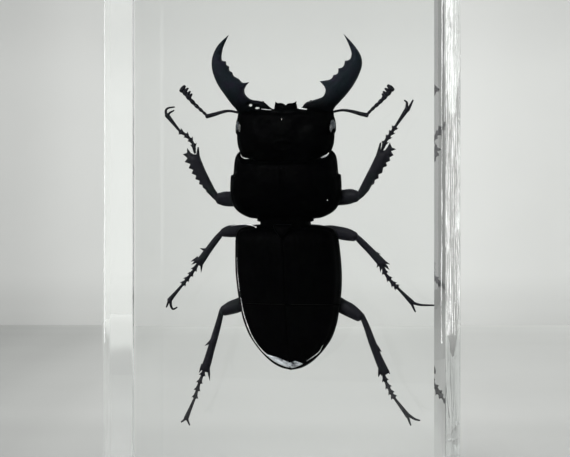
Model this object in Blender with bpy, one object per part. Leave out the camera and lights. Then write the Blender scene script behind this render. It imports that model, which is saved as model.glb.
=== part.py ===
"""A black stag beetle cast in an upright block of clear resin.

The frame has +Z up and its origin under the middle of the block's base. The beetle is spread flat at
mid-depth, head up, with its back to the front face (-Y) and its underside to the rear (+Y). The block was
poured in two layers, which meet in the plane of the beetle's outline, so each layer holds half a pocket.

The beetle has body coordinates in millimetres: u across (to the right), v along (towards the head) and
w in depth (towards the rear), all from the middle of its waist.
"""

import math

import bmesh
import bpy
from mathutils import Matrix, Vector

MM = 0.001

# The block, in millimetres.
BLOCK_WIDTH = 65.0
BLOCK_DEPTH = 28.0
BLOCK_HEIGHT = 110.0
# The edges of its plan, as distances from the corner along the front or back and along the side. The two
# front edges were eased by hand, the right one mostly along the side.
FRONT_LEFT_EASE = [(0.0, 1.0), (0.3, 0.55), (0.8, 0.25), (1.8, 0.0)]
FRONT_RIGHT_EASE = [(1.4, 0.0), (0.93, 1.3), (0.5, 2.75), (0.16, 4.3), (0.0, 5.2)]
BACK_RADII = {"back_right": 0.6, "back_left": 0.4}
CORNER_STEPS = 4
RIM_RADIUS = 0.8
RIM_STEPS = 2
SHARPEST_CORNER = 0.1
PARTING_GAP = 0.3
POCKET_CLEARANCE = 0.45
POCKET_REACH = 0.6  # every run of the pocket passes the parting plane by this much
BODY_ROOM = 0.9  # a faceted pocket needs a little more room around the body's finer facets
TOOTH_ROOM = 1.3  # the pocket is this much wider along limbs that carry teeth

# The beetle's place in the block, and its pose.
WAIST_X = 1.8
WAIST_Z = 56.0
LENGTH_SHARE = 0.98  # the outlines below are drawn a little too long, so v is shortened by this
FOREBODY_SHIFT = -0.4  # the head and the pronotum sit a little to the left
HINDBODY_TURN = math.radians(1.9)  # the tip of the hind body swings a little to the right

# Cross-sections along the body: v, half width, height of the back, depth of the underside.
HEAD = [
    (22.3, 8.7, 1.5, 1.3),
    (21.4, 9.3, 2.4, 2.1),
    (19.0, 9.6, 3.1, 2.7),
    (17.5, 9.7, 3.3, 2.9),
    (16.6, 9.4, 3.4, 3.0),
    (14.6, 9.1, 3.4, 3.1),
    (12.6, 8.0, 3.2, 3.0),
    (10.0, 6.0, 2.6, 2.6),
]
PRONOTUM = [
    (14.0, 8.9, 2.9, 2.7),
    (13.3, 9.7, 3.4, 3.1),
    (11.6, 10.1, 3.9, 3.5),
    (9.8, 10.3, 4.3, 3.8),
    (9.2, 10.75, 4.4, 3.9),
    (6.6, 10.85, 4.6, 4.0),
    (4.6, 10.5, 4.4, 4.0),
    (3.1, 10.0, 4.1, 3.8),
    (2.2, 9.1, 3.7, 3.6),
    (1.5, 7.8, 3.2, 3.4),
    (1.0, 6.0, 2.7, 3.2),
]
WAIST = [
    (2.2, 5.2, 2.4, 3.2),
    (-2.2, 5.2, 2.4, 3.2),
]
ELYTRA = [
    (-0.7, 5.8, 2.6, 3.2),
    (-1.5, 8.2, 3.4, 3.6),
    (-2.6, 10.0, 4.1, 4.0),
    (-6.0, 10.25, 4.7, 4.3),
    (-9.0, 10.4, 4.9, 4.3),
    (-12.0, 10.2, 5.0, 4.2),
    (-14.6, 9.95, 4.9, 4.0),
    (-17.4, 9.4, 4.6, 3.7),
    (-20.4, 8.5, 4.1, 3.2),
    (-22.8, 7.3, 3.5, 2.7),
    (-24.8, 6.0, 2.9, 2.2),
    (-26.4, 4.5, 2.2, 1.7),
    (-27.6, 3.0, 1.5, 1.2),
    (-28.3, 1.5, 0.8, 0.6),
]
BODY_SIDES = 20
POCKET_SIDES = 12
BODY_SQUARENESS = 2.35

# Each mandible: centre line with half width and half depth (u, v, w, half width, half depth).
MANDIBLES = {
    "left": [
        (-7.0, 20.6, 0.2, 2.3, 1.7),
        (-8.6, 23.3, 0.1, 1.75, 1.6),
        (-10.2, 25.2, 0.0, 1.75, 1.5),
        (-11.6, 27.3, -0.2, 1.75, 1.4),
        (-12.7, 29.2, -0.4, 1.6, 1.3),
        (-13.4, 31.0, -0.6, 1.35, 1.2),
        (-13.8, 32.6, -0.8, 0.85, 1.0),
        (-13.35, 34.0, -1.0, 0.7, 0.8),
        (-12.6, 35.2, -1.2, 0.5, 0.6),
        (-11.75, 36.4, -1.4, 0.12, 0.2),
    ],
    "right": [
        (6.1, 20.6, 0.2, 2.3, 1.7),
        (7.9, 23.3, 0.1, 1.7, 1.6),
        (9.2, 25.0, 0.0, 1.75, 1.5),
        (10.7, 27.0, -0.2, 1.75, 1.4),
        (11.9, 29.0, -0.4, 1.6, 1.3),
        (12.7, 30.8, -0.6, 1.35, 1.2),
        (13.15, 32.2, -0.8, 0.85, 1.0),
        (12.8, 33.6, -1.0, 0.7, 0.8),
        (12.2, 34.8, -1.2, 0.5, 0.6),
        (11.35, 35.9, -1.4, 0.12, 0.2),
    ],
}
# Teeth on the mandibles' inner edges: base and tip (u, v), then the radius of the base.
MANDIBLE_TEETH = {
    "left": [
        ((-13.2, 31.2), (-12.25, 31.75), 0.5),
        ((-12.6, 30.0), (-11.6, 30.4), 0.5),
        ((-11.9, 28.6), (-10.6, 29.0), 0.6),
        ((-11.2, 27.0), (-7.95, 27.55), 1.0),
        ((-8.0, 23.0), (-3.7, 22.6), 1.1),
    ],
    "right": [
        ((12.6, 30.9), (11.1, 31.1), 0.5),
        ((11.8, 29.4), (10.1, 29.7), 0.5),
        ((11.1, 28.2), (9.1, 28.4), 0.6),
        ((10.3, 26.8), (6.8, 27.35), 1.0),
        ((7.2, 22.9), (2.9, 22.6), 1.1),
    ],
}
MANDIBLE_TEETH_W = -0.3
LABRUM_POINTS = [(-2.7, 21.5), (-1.75, 23.7), (0.0, 22.95), (1.85, 23.6), (2.8, 21.5)]
LABRUM_THICKNESS = 1.4
LABRUM_RUN = [(-0.4, 21.5, 0.0, 2.8, 0.7), (-0.4, 24.2, 0.0, 2.2, 0.7)]

# The eyes bulge from the sides of the head: offset from its middle line, v, w and radius.
EYE = (9.05, 18.9, -0.2, 1.0)

# Coxae, the roots of the legs on the underside: u, v, w and the half sizes of each.
COXAE = [
    (3.4, 5.2, 3.2, 2.3, 1.6, 1.4),
    (3.6, -2.6, 3.4, 2.2, 1.6, 1.4),
    (4.6, -12.2, 3.2, 3.6, 1.5, 1.3),
]

# Antennae: u, v, w, half width, half depth. The club ends in three leaves.
ANTENNAE = {
    "left": [
        (-8.6, 21.3, 0.4, 0.2, 0.2),
        (-10.8, 22.1, 0.6, 0.18, 0.18),
        (-12.2, 22.3, 0.7, 0.2, 0.2),
        (-13.8, 22.05, 0.8, 0.26, 0.26),
        (-15.2, 21.65, 0.9, 0.32, 0.3),
        (-16.5, 21.55, 0.9, 0.36, 0.3),
        (-17.6, 22.7, 0.9, 0.2, 0.2),
        (-19.0, 23.9, 0.9, 0.2, 0.2),
        (-20.2, 25.1, 0.9, 0.24, 0.22),
        (-21.0, 25.9, 0.9, 0.45, 0.3),
        (-21.75, 26.8, 0.9, 0.5, 0.3),
        (-21.8, 27.5, 0.9, 0.2, 0.2),
    ],
    "right": [
        (7.8, 21.5, 0.4, 0.2, 0.2),
        (10.1, 22.1, 0.6, 0.18, 0.18),
        (11.3, 22.15, 0.7, 0.2, 0.2),
        (12.7, 21.9, 0.8, 0.26, 0.26),
        (14.0, 21.5, 0.9, 0.32, 0.3),
        (15.3, 21.35, 0.9, 0.36, 0.3),
        (16.3, 22.2, 0.9, 0.2, 0.2),
        (17.2, 22.95, 0.9, 0.2, 0.2),
        (18.5, 24.1, 0.9, 0.24, 0.22),
        (19.3, 24.85, 0.9, 0.45, 0.3),
        (20.0, 25.7, 0.9, 0.5, 0.3),
        (20.0, 26.6, 0.9, 0.2, 0.2),
    ],
}
CLUB_LEAVES = {
    "left": [
        ((-21.6, 26.6), (-20.5, 26.95)),
        ((-21.2, 26.1), (-20.1, 26.2)),
        ((-20.7, 25.6), (-19.9, 25.55)),
    ],
    "right": [
        ((20.0, 25.8), (19.05, 26.05)),
        ((19.6, 25.3), (18.65, 25.45)),
        ((19.1, 24.8), (18.5, 24.75)),
    ],
}

# Legs: femur, tibia and tarsus as u, v, w, half width, half depth. Teeth, spurs and claws run from a base
# to a tip (u, v).
LEGS = {
    "front_left": {
        "femur": [
            (-3.6, 5.0, 3.4, 1.1, 1.0),
            (-8.0, 4.9, 3.0, 1.4, 1.1),
            (-11.2, 4.75, 2.2, 1.5, 1.1),
            (-12.8, 4.8, 1.8, 1.4, 1.0),
            (-14.3, 4.9, 1.5, 0.95, 0.8),
        ],
        "tibia": [
            (-13.9, 4.8, 1.5, 0.6, 0.6),
            (-15.2, 6.3, 1.5, 0.75, 0.6),
            (-16.5, 8.1, 1.5, 0.85, 0.6),
            (-17.6, 10.0, 1.5, 1.0, 0.6),
            (-18.4, 11.8, 1.5, 1.1, 0.6),
            (-18.9, 13.9, 1.5, 1.15, 0.6),
        ],
        "tarsus": [
            (-18.6, 13.6, 1.6),
            (-19.2, 16.0, 1.7),
            (-21.3, 18.1, 1.9),
            (-22.9, 19.4, 2.0),
            (-24.4, 21.6, 2.1),
        ],
        "teeth": [
            ((-18.9, 13.4), (-20.3, 14.8)),
            ((-19.2, 13.4), (-20.9, 13.9)),
            ((-19.0, 12.0), (-20.45, 12.5)),
            ((-18.4, 10.8), (-19.75, 11.3)),
            ((-17.8, 9.7), (-19.1, 10.1)),
            ((-17.1, 8.6), (-18.25, 9.0)),
            ((-16.6, 7.5), (-17.6, 7.85)),
            ((-18.2, 13.4), (-17.9, 14.9)),
        ],
        "claws": [((-24.4, 21.5), (-24.6, 22.9)), ((-24.4, 21.6), (-23.2, 23.3))],
    },
    "front_right": {
        "femur": [
            (2.8, 5.0, 3.4, 1.1, 1.0),
            (7.2, 4.9, 3.0, 1.4, 1.1),
            (10.4, 5.0, 2.2, 1.5, 1.1),
            (12.0, 5.25, 1.8, 1.4, 1.0),
            (13.3, 5.3, 1.5, 0.95, 0.8),
        ],
        "tibia": [
            (12.9, 5.0, 1.5, 0.6, 0.6),
            (14.4, 6.6, 1.5, 0.75, 0.6),
            (15.8, 8.6, 1.5, 0.85, 0.6),
            (16.9, 10.4, 1.5, 1.0, 0.6),
            (17.9, 12.3, 1.5, 1.1, 0.6),
            (18.5, 14.3, 1.5, 1.15, 0.6),
        ],
        "tarsus": [
            (18.3, 14.0, 1.6),
            (19.2, 16.7, 1.7),
            (20.3, 18.7, 1.9),
            (21.9, 20.6, 2.0),
            (23.2, 22.3, 2.1),
        ],
        "teeth": [
            ((18.4, 14.0), (19.7, 15.3)),
            ((18.9, 13.9), (20.5, 14.2)),
            ((18.6, 12.7), (20.0, 13.1)),
            ((18.2, 11.8), (19.6, 12.2)),
            ((17.5, 10.7), (18.8, 11.1)),
            ((16.7, 9.5), (17.95, 9.8)),
            ((15.6, 7.8), (16.6, 8.0)),
            ((17.7, 13.8), (17.9, 15.2)),
        ],
        "claws": [((23.1, 22.1), (22.7, 23.8)), ((23.2, 22.1), (24.0, 23.6))],
    },
    "middle_left": {
        "femur": [
            (-3.8, -2.2, 3.4, 1.0, 0.9),
            (-8.0, -1.7, 2.9, 1.2, 0.9),
            (-10.6, -1.4, 2.2, 1.2, 0.9),
            (-12.2, -1.5, 1.8, 1.05, 0.8),
            (-13.3, -1.8, 1.5, 0.7, 0.6),
        ],
        "tibia": [
            (-13.0, -1.5, 1.5, 0.5, 0.5),
            (-14.4, -3.1, 1.5, 0.65, 0.5),
            (-16.0, -5.2, 1.5, 0.7, 0.5),
            (-17.3, -7.0, 1.6, 0.8, 0.55),
            (-18.1, -8.1, 1.6, 0.85, 0.55),
        ],
        "tarsus": [
            (-18.0, -7.9, 1.6),
            (-19.6, -9.8, 1.8),
            (-21.1, -11.7, 2.0),
            (-22.8, -13.5, 2.2),
            (-23.9, -15.3, 2.3),
        ],
        "teeth": [
            ((-16.2, -5.1), (-17.55, -4.9)),
            ((-18.2, -7.5), (-19.45, -8.2)),
            ((-17.4, -7.6), (-17.5, -9.5)),
        ],
        "claws": [((-23.8, -15.2), (-24.5, -16.5)), ((-23.8, -15.2), (-23.2, -16.9))],
    },
    "middle_right": {
        "femur": [
            (3.2, -2.2, 3.4, 1.0, 0.9),
            (7.2, -1.7, 2.9, 1.2, 0.9),
            (9.8, -1.9, 2.2, 1.2, 0.9),
            (11.8, -2.2, 1.8, 1.05, 0.8),
            (13.1, -2.6, 1.5, 0.7, 0.6),
        ],
        "tibia": [
            (12.7, -2.2, 1.5, 0.5, 0.5),
            (14.1, -3.6, 1.5, 0.65, 0.5),
            (15.9, -5.4, 1.5, 0.7, 0.5),
            (17.3, -6.9, 1.6, 0.8, 0.55),
            (18.3, -8.0, 1.6, 0.85, 0.55),
        ],
        "tarsus": [
            (18.1, -7.8, 1.6),
            (19.0, -9.8, 1.8),
            (20.6, -11.8, 2.0),
            (22.3, -13.8, 2.2),
            (23.9, -15.3, 2.3),
        ],
        "teeth": [
            ((16.3, -5.6), (17.45, -5.6)),
            ((17.9, -7.3), (19.4, -7.95)),
            ((17.4, -7.4), (17.7, -9.0)),
        ],
        "claws": [((23.7, -15.1), (24.4, -16.7)), ((23.6, -15.4), (28.0, -15.75))],
    },
    "hind_left": {
        "femur": [
            (-4.6, -12.6, 3.2, 1.2, 0.9),
            (-7.4, -14.6, 2.9, 1.3, 1.0),
            (-9.9, -16.0, 2.3, 1.3, 1.0),
            (-11.6, -16.8, 1.9, 1.25, 0.9),
            (-13.3, -17.4, 1.5, 0.8, 0.7),
        ],
        "tibia": [
            (-13.3, -17.0, 1.5, 0.5, 0.5),
            (-13.9, -19.4, 1.5, 0.6, 0.5),
            (-14.7, -22.2, 1.5, 0.7, 0.5),
            (-15.6, -25.2, 1.6, 0.75, 0.5),
            (-16.3, -27.6, 1.6, 0.85, 0.55),
            (-16.9, -29.2, 1.6, 0.9, 0.55),
        ],
        "tarsus": [
            (-16.8, -29.0, 1.6),
            (-17.6, -31.4, 1.8),
            (-18.8, -34.3, 2.0),
            (-20.1, -37.2, 2.2),
            (-20.6, -38.9, 2.3),
        ],
        "teeth": [
            ((-15.1, -23.7), (-16.55, -24.3)),
            ((-16.1, -28.6), (-15.7, -31.1)),
        ],
        "claws": [((-20.6, -38.7), (-21.5, -39.6)), ((-20.6, -38.7), (-19.9, -40.1))],
    },
    "hind_right": {
        "femur": [
            (4.6, -12.6, 3.2, 1.2, 0.9),
            (7.8, -14.6, 2.9, 1.3, 1.0),
            (10.5, -16.1, 2.3, 1.3, 1.0),
            (12.4, -17.1, 1.9, 1.2, 0.9),
            (14.2, -18.4, 1.5, 0.75, 0.7),
        ],
        "tibia": [
            (14.1, -17.6, 1.5, 0.5, 0.5),
            (15.1, -19.9, 1.5, 0.6, 0.5),
            (16.1, -22.7, 1.5, 0.7, 0.5),
            (17.1, -25.3, 1.6, 0.75, 0.5),
            (18.0, -27.4, 1.6, 0.85, 0.55),
            (18.7, -28.9, 1.6, 0.9, 0.55),
        ],
        "tarsus": [
            (18.4, -28.7, 1.6),
            (19.4, -31.7, 1.8),
            (20.9, -34.5, 2.0),
            (22.3, -36.7, 2.2),
            (23.2, -38.0, 2.3),
        ],
        "teeth": [
            ((16.8, -24.0), (17.95, -24.7)),
            ((18.5, -28.2), (19.6, -29.0)),
        ],
        "claws": [((23.0, -37.8), (23.4, -38.9)), ((23.0, -37.8), (25.0, -37.9))],
    },
}
LIMB_SIDES = 6
MANDIBLE_SIDES = 8
SPINE_SIDES = 4
LUMP_SEGMENTS = 8
SPINE_RADIUS = 0.3
CLAW_RADIUS = 0.2
CLAW_REACH = 2.4
LONG_SPIKE = 1.7  # longer claws and spurs have a slot of their own in the pocket
SPINE_TIP = 0.03
TARSAL_SEGMENTS = 5
TARSUS_NECK = 0.2
TARSUS_BEAD = 0.4

COLLECTION = "insect_in_resin_block"
CUTTERS = "cutters"


def clear_scene():
    for obj in list(bpy.data.objects):
        bpy.data.objects.remove(obj, do_unlink=True)


def collection(name, rendered=True):
    made = bpy.data.collections.new(name)
    made.hide_render = not rendered
    bpy.context.scene.collection.children.link(made)
    return made


def material(name, colour, roughness, transmission=0.0):
    made = bpy.data.materials.new(name)
    made.use_nodes = True
    shader = made.node_tree.nodes["Principled BSDF"]
    shader.inputs["Base Color"].default_value = (*colour, 1.0)
    shader.inputs["Roughness"].default_value = roughness
    shader.inputs["Metallic"].default_value = 0.0
    shader.inputs["Transmission Weight"].default_value = transmission
    made.diffuse_color = (*colour, 1.0 - 0.7 * transmission)
    return made


def place(u, v, w):
    """Body coordinates in millimetres to the block's frame in metres."""
    return Vector((WAIST_X + u, w, WAIST_Z + LENGTH_SHARE * v)) * MM


def middle_line(v):
    """The body's middle line bends at the waist."""
    if v >= 0:
        return FOREBODY_SHIFT
    return FOREBODY_SHIFT - v * math.tan(HINDBODY_TURN)


def new_object(name, shape, home):
    """A new mesh object from a bmesh, with its faces turned outwards."""
    bmesh.ops.recalc_face_normals(shape, faces=shape.faces)
    mesh = bpy.data.meshes.new(name)
    shape.to_mesh(mesh)
    shape.free()
    obj = bpy.data.objects.new(name, mesh)
    home.objects.link(obj)
    return obj


def loft(name, rings, home):
    """A closed skin over rings with the same number of points, flat at both ends."""
    shape = bmesh.new()
    rows = [[shape.verts.new(point) for point in ring] for ring in rings]
    count = len(rows[0])
    for lower, upper in zip(rows, rows[1:]):
        for i in range(count):
            j = (i + 1) % count
            shape.faces.new((lower[i], lower[j], upper[j], upper[i]))
    shape.faces.new(rows[0])
    shape.faces.new(rows[-1])
    return new_object(name, shape, home)


def power(value, exponent):
    """A signed power, for superellipses."""
    return math.copysign(abs(value) ** exponent, value)


def body_ring(v, half_width, back, underside, sides):
    """A cross-section of the body: a superellipse with its own height above and below the outline."""
    ring = []
    for i in range(sides):
        angle = 2 * math.pi * i / sides
        across = half_width * power(math.cos(angle), 2 / BODY_SQUARENESS)
        depth = power(math.sin(angle), 2 / BODY_SQUARENESS)
        depth *= underside if depth > 0 else back
        ring.append(place(middle_line(v) + across, v, depth))
    return ring


def body_piece(name, stations, home, sides=BODY_SIDES, room=0.0):
    """A stretch of the body, or the pocket for it if it is given some room."""
    rings = []
    for number, (v, half_width, back, underside) in enumerate(stations):
        if number == 0:
            v += room
        if number == len(stations) - 1:
            v -= room
        rings.append(body_ring(v, half_width + room, back + room, underside + room, sides))
    return loft(name, rings, home)


def headings(points):
    """The direction of travel at each point of a run, in the plane of the outline."""
    flat = [Vector(point[:2]) for point in points]
    legs = [(after - before).normalized() for before, after in zip(flat, flat[1:])]
    mitred = [(before + after).normalized() for before, after in zip(legs, legs[1:])]
    return [legs[0], *mitred, legs[-1]]


def limb(name, points, home, sides=LIMB_SIDES):
    """A tapered, flattened limb through points with their own half width and half depth."""
    rings = []
    for (u, v, w, half_width, half_depth), heading in zip(points, headings(points)):
        side = Vector((heading.y, -heading.x))
        ring = []
        for i in range(sides):
            angle = 2 * math.pi * (i + 0.5) / sides
            across = half_width * math.cos(angle) / math.cos(math.pi / sides)
            depth = half_depth * math.sin(angle)
            ring.append(place(u + side.x * across, v + side.y * across, w + depth))
        rings.append(ring)
    return loft(name, rings, home)


def pocket_run(name, points, room, home):
    """A slot around a limb that passes the parting plane all the way, so that no stretch is closed over."""
    rings = []
    for (u, v, w, half_width, half_depth), heading in zip(points, headings(points)):
        side = Vector((heading.y, -heading.x)) * (half_width + room)
        front = min(w - half_depth - POCKET_CLEARANCE, -POCKET_REACH)
        rear = max(w + half_depth + POCKET_CLEARANCE, POCKET_REACH)
        rings.append(
            [
                place(u + side.x, v + side.y, front),
                place(u + side.x, v + side.y, rear),
                place(u - side.x, v - side.y, rear),
                place(u - side.x, v - side.y, front),
            ]
        )
    return loft(name, rings, home)


def extended(points, by):
    """The same run, with its last point moved on along the run."""
    *others, before, last = points
    step = Vector(last[:2]) - Vector(before[:2])
    end = Vector(last[:2]) + step.normalized() * by
    return [*others, before, (end.x, end.y, *last[2:])]


def spine(name, base, tip, w, radius, home):
    """A tooth, spur or claw: a slim cone from inside the limb to its tip."""
    start, end = place(*base, w), place(*tip, w)
    shape = bmesh.new()
    bmesh.ops.create_cone(
        shape,
        cap_ends=True,
        segments=SPINE_SIDES,
        radius1=radius * MM,
        radius2=SPINE_TIP * MM,
        depth=(end - start).length,
    )
    turn = (end - start).to_track_quat("Z", "Y").to_matrix().to_4x4()
    bmesh.ops.transform(shape, matrix=Matrix.Translation((start + end) / 2) @ turn, verts=shape.verts)
    return new_object(name, shape, home)


def ellipsoid(name, centre, half_sizes, home, segments=LUMP_SEGMENTS):
    """A rounded lump, such as an eye or a coxa. Its half sizes are in u, v and w."""
    shape = bmesh.new()
    bmesh.ops.create_uvsphere(shape, u_segments=segments, v_segments=segments // 2 + 1, radius=MM)
    half_u, half_v, half_w = half_sizes
    scale = Matrix.Diagonal((half_u, half_w, half_v, 1.0))
    bmesh.ops.transform(shape, matrix=Matrix.Translation(place(*centre)) @ scale, verts=shape.verts)
    return new_object(name, shape, home)


def lumps(prefix, room, home):
    """The eyes and the coxae, or the pocket for them if they are given some room."""
    for side in (-1, 1):
        offset, v, w, radius = EYE
        half_sizes = (radius + room, radius * 1.2 + room, radius + room)
        ellipsoid(f"{prefix}eye", (FOREBODY_SHIFT + side * offset, v, w), half_sizes, home)
        for u, v, w, *half_sizes in COXAE:
            grown = [half_size + room for half_size in half_sizes]
            ellipsoid(f"{prefix}coxa", (middle_line(v) + side * u, v, w), grown, home)


def labrum(home):
    """The notched upper lip between the mandibles."""
    shape = bmesh.new()
    front = -LABRUM_THICKNESS / 2
    outline = [shape.verts.new(place(FOREBODY_SHIFT + u, v, front)) for u, v in LABRUM_POINTS]
    face = shape.faces.new(outline)
    made = bmesh.ops.extrude_face_region(shape, geom=[face])["geom"]
    moved = [part for part in made if isinstance(part, bmesh.types.BMVert)]
    bmesh.ops.translate(shape, vec=(0, LABRUM_THICKNESS * MM, 0), verts=moved)
    return new_object("labrum", shape, home)


def at_share(points, share):
    """The point this share of the way along a run, counted in its points."""
    place_along = share * (len(points) - 1)
    index = min(int(place_along), len(points) - 2)
    rest = place_along - index
    return tuple(a + (b - a) * rest for a, b in zip(points[index], points[index + 1]))


def beaded(points):
    """The tarsus as a run of small joints, each of which widens to its end."""
    run = []
    for joint in range(TARSAL_SEGMENTS):
        start = joint / TARSAL_SEGMENTS
        end = (joint + 0.85) / TARSAL_SEGMENTS
        run.append((*at_share(points, start), TARSUS_NECK, TARSUS_NECK))
        run.append((*at_share(points, end), TARSUS_BEAD, TARSUS_BEAD * 0.8))
    run.append((*points[-1], TARSUS_BEAD * 0.8, TARSUS_BEAD * 0.6))
    return run


def leg(name, shape, home):
    limb(f"{name}_femur", shape["femur"], home)
    limb(f"{name}_tibia", shape["tibia"], home)
    limb(f"{name}_tarsus", beaded(shape["tarsus"]), home)
    tibia_w = shape["tibia"][-1][2]
    claw_w = shape["tarsus"][-1][2]
    for number, (base, tip) in enumerate(shape["teeth"]):
        spine(f"{name}_tooth_{number}", base, tip, tibia_w, SPINE_RADIUS, home)
    for number, (base, tip) in enumerate(shape["claws"]):
        spine(f"{name}_claw_{number}", base, tip, claw_w, CLAW_RADIUS, home)


def insect_shapes(home):
    """Everything that the beetle is fused from, each shape overlapping the next."""
    body_piece("head", HEAD, home)
    body_piece("pronotum", PRONOTUM, home)
    body_piece("waist", WAIST, home, sides=16)
    body_piece("elytra", ELYTRA, home)
    labrum(home)
    lumps("", 0.0, home)
    for side, points in MANDIBLES.items():
        limb(f"mandible_{side}", points, home, sides=MANDIBLE_SIDES)
        for base, tip, radius in MANDIBLE_TEETH[side]:
            spine("mandible_tooth", base, tip, MANDIBLE_TEETH_W, radius, home)
        limb(f"antenna_{side}", ANTENNAE[side], home)
        for base, tip in CLUB_LEAVES[side]:
            spine("club_leaf", base, tip, ANTENNAE[side][-1][2], SPINE_RADIUS, home)
    for name, shape in LEGS.items():
        leg(name, shape, home)


def pocket_shapes(home):
    """The space that the resin leaves for the beetle."""
    for name, stations in (("head", HEAD), ("pronotum", PRONOTUM), ("waist", WAIST), ("elytra", ELYTRA)):
        body_piece(f"pocket_{name}", stations, home, sides=POCKET_SIDES, room=BODY_ROOM)
    lumps("pocket_", BODY_ROOM, home)
    pocket_run("pocket_labrum", LABRUM_RUN, POCKET_CLEARANCE, home)
    toothed = POCKET_CLEARANCE + TOOTH_ROOM
    for side, points in MANDIBLES.items():
        pocket_run(f"pocket_mandible_{side}", extended(points, 1.0), toothed, home)
        big_tooth, basal_lobe = MANDIBLE_TEETH[side][-2:]
        for base, tip, radius in (big_tooth, basal_lobe):
            run = [(*base, 0.0, radius, radius), (*tip, 0.0, radius / 2, radius)]
            pocket_run("pocket_tooth", extended(run, 0.8), POCKET_CLEARANCE, home)
        pocket_run(f"pocket_antenna_{side}", extended(ANTENNAE[side], 0.8), toothed, home)
    for name, shape in LEGS.items():
        pocket_run(f"pocket_{name}_femur", extended(shape["femur"], 0.6), POCKET_CLEARANCE, home)
        pocket_run(f"pocket_{name}_tibia", extended(shape["tibia"], 1.2), toothed, home)
        toes = [(*point, TARSUS_BEAD, TARSUS_BEAD) for point in shape["tarsus"]]
        pocket_run(f"pocket_{name}_tarsus", extended(toes, CLAW_REACH), toothed, home)
        w = shape["tarsus"][-1][2]
        for base, tip in shape["claws"] + shape["teeth"]:
            if (Vector(tip) - Vector(base)).length > LONG_SPIKE:
                run = [(*base, w, CLAW_RADIUS, CLAW_RADIUS), (*tip, w, CLAW_RADIUS, CLAW_RADIUS)]
                pocket_run("pocket_spike", extended(run, 0.8), POCKET_CLEARANCE + 0.2, home)


def block_outline(inset):
    """The block's plan, anticlockwise from above: two eased front edges, then two rounded back edges."""
    half_x, half_y = BLOCK_WIDTH / 2 - inset, BLOCK_DEPTH / 2 - inset
    outline = [Vector((-half_x + x, -half_y + y)) for x, y in FRONT_LEFT_EASE]
    outline += [Vector((half_x - x, -half_y + y)) for x, y in FRONT_RIGHT_EASE]
    for name, side, start in (("back_right", 1, 0), ("back_left", -1, 90)):
        radius = max(BACK_RADII[name] - inset, SHARPEST_CORNER)
        centre = Vector((side * (half_x - radius), half_y - radius))
        for step in range(CORNER_STEPS + 1):
            angle = math.radians(start + 90 * step / CORNER_STEPS)
            outline.append(centre + radius * Vector((math.cos(angle), math.sin(angle))))
    return outline


def block(name, home):
    """The whole upright block, with its top and bottom rims eased."""
    eases = [math.pi / 2 * step / RIM_STEPS for step in range(RIM_STEPS + 1)]
    levels = [(RIM_RADIUS * (1 - math.sin(ease)), RIM_RADIUS * (1 - math.cos(ease))) for ease in eases]
    lower = [(height, inset) for height, inset in reversed(levels)]
    upper = [(BLOCK_HEIGHT - height, inset) for height, inset in levels]
    rings = []
    for height, inset in [*lower, *upper]:
        rings.append([Vector((x, y, height)) * MM for x, y in block_outline(inset)])
    return loft(name, rings, home)


def half_space(name, side, home):
    """What is cut away to leave one pour: everything on this side of the parting plane."""
    shape = bmesh.new()
    bmesh.ops.create_cube(shape, size=1.0)
    margin = 10.0
    size = Vector((BLOCK_WIDTH + margin, BLOCK_DEPTH, BLOCK_HEIGHT + margin))
    centre = Vector((0, side * (BLOCK_DEPTH - PARTING_GAP) / 2, BLOCK_HEIGHT / 2))
    scale = Matrix.Diagonal((*(size * MM), 1.0))
    bmesh.ops.transform(shape, matrix=Matrix.Translation(centre * MM) @ scale, verts=shape.verts)
    return new_object(name, shape, home)


def boolean(target, operation, source):
    """A Boolean with one object or with a whole collection, applied."""
    modifier = target.modifiers.new(operation.lower(), "BOOLEAN")
    modifier.operation = operation
    modifier.solver = "EXACT"
    if isinstance(source, bpy.types.Collection):
        modifier.operand_type = "COLLECTION"
        modifier.collection = source
    else:
        modifier.object = source
    graph = bpy.context.evaluated_depsgraph_get()
    mesh = bpy.data.meshes.new_from_object(target.evaluated_get(graph))
    target.modifiers.remove(modifier)
    old, target.data = target.data, mesh
    bpy.data.meshes.remove(old)


def finish(obj, look, home):
    """Gives a finished piece its material, its shading and its place in the object's collection."""
    for place_now in list(obj.users_collection):
        place_now.objects.unlink(obj)
    home.objects.link(obj)
    obj.data.materials.clear()
    obj.data.materials.append(look)
    obj.data.shade_smooth()
    obj.data.set_sharp_from_angle(angle=math.radians(35))


def discard(home):
    for obj in list(home.objects):
        bpy.data.objects.remove(obj, do_unlink=True)


def build():
    clear_scene()
    block_parts = collection(COLLECTION)
    cutters = collection(CUTTERS, rendered=False)
    pocket = collection("pocket", rendered=False)
    chitin = material("black_chitin", (0.012, 0.011, 0.012), 0.3)
    resin = material("clear_resin", (0.93, 0.95, 0.94), 0.03, transmission=1.0)

    insect_shapes(cutters)
    beetle = cutters.objects["elytra"]
    cutters.objects.unlink(beetle)
    block_parts.objects.link(beetle)
    boolean(beetle, "UNION", cutters)
    beetle.name = "stag_beetle"
    finish(beetle, chitin, block_parts)
    discard(cutters)

    pocket_shapes(pocket)
    for name, far_side in (("resin_front", 1), ("resin_back", -1)):
        pour = block(name, block_parts)
        cut = half_space(f"{name}_cut", far_side, cutters)
        boolean(pour, "DIFFERENCE", cut)
        boolean(pour, "DIFFERENCE", pocket)
        finish(pour, resin, block_parts)
    for home in (cutters, pocket):
        for obj in home.objects:
            obj.hide_render = True
            obj.display_type = "WIRE"


build()
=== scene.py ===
"""A black stag beetle in an upright block of clear cast resin, on a pale studio table.

The frame has +Z up and its origin under the middle of the block's base. The beetle turns its back to the
front (-Y). It has body coordinates in millimetres: u across (to the right), v along (towards the head) and
w in depth (towards the rear), from the middle of its waist. Lengths are in millimetres unless said otherwise.
"""

import math

import bmesh
import bpy
import numpy as np
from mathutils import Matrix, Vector
from mathutils.geometry import delaunay_2d_cdt

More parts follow.
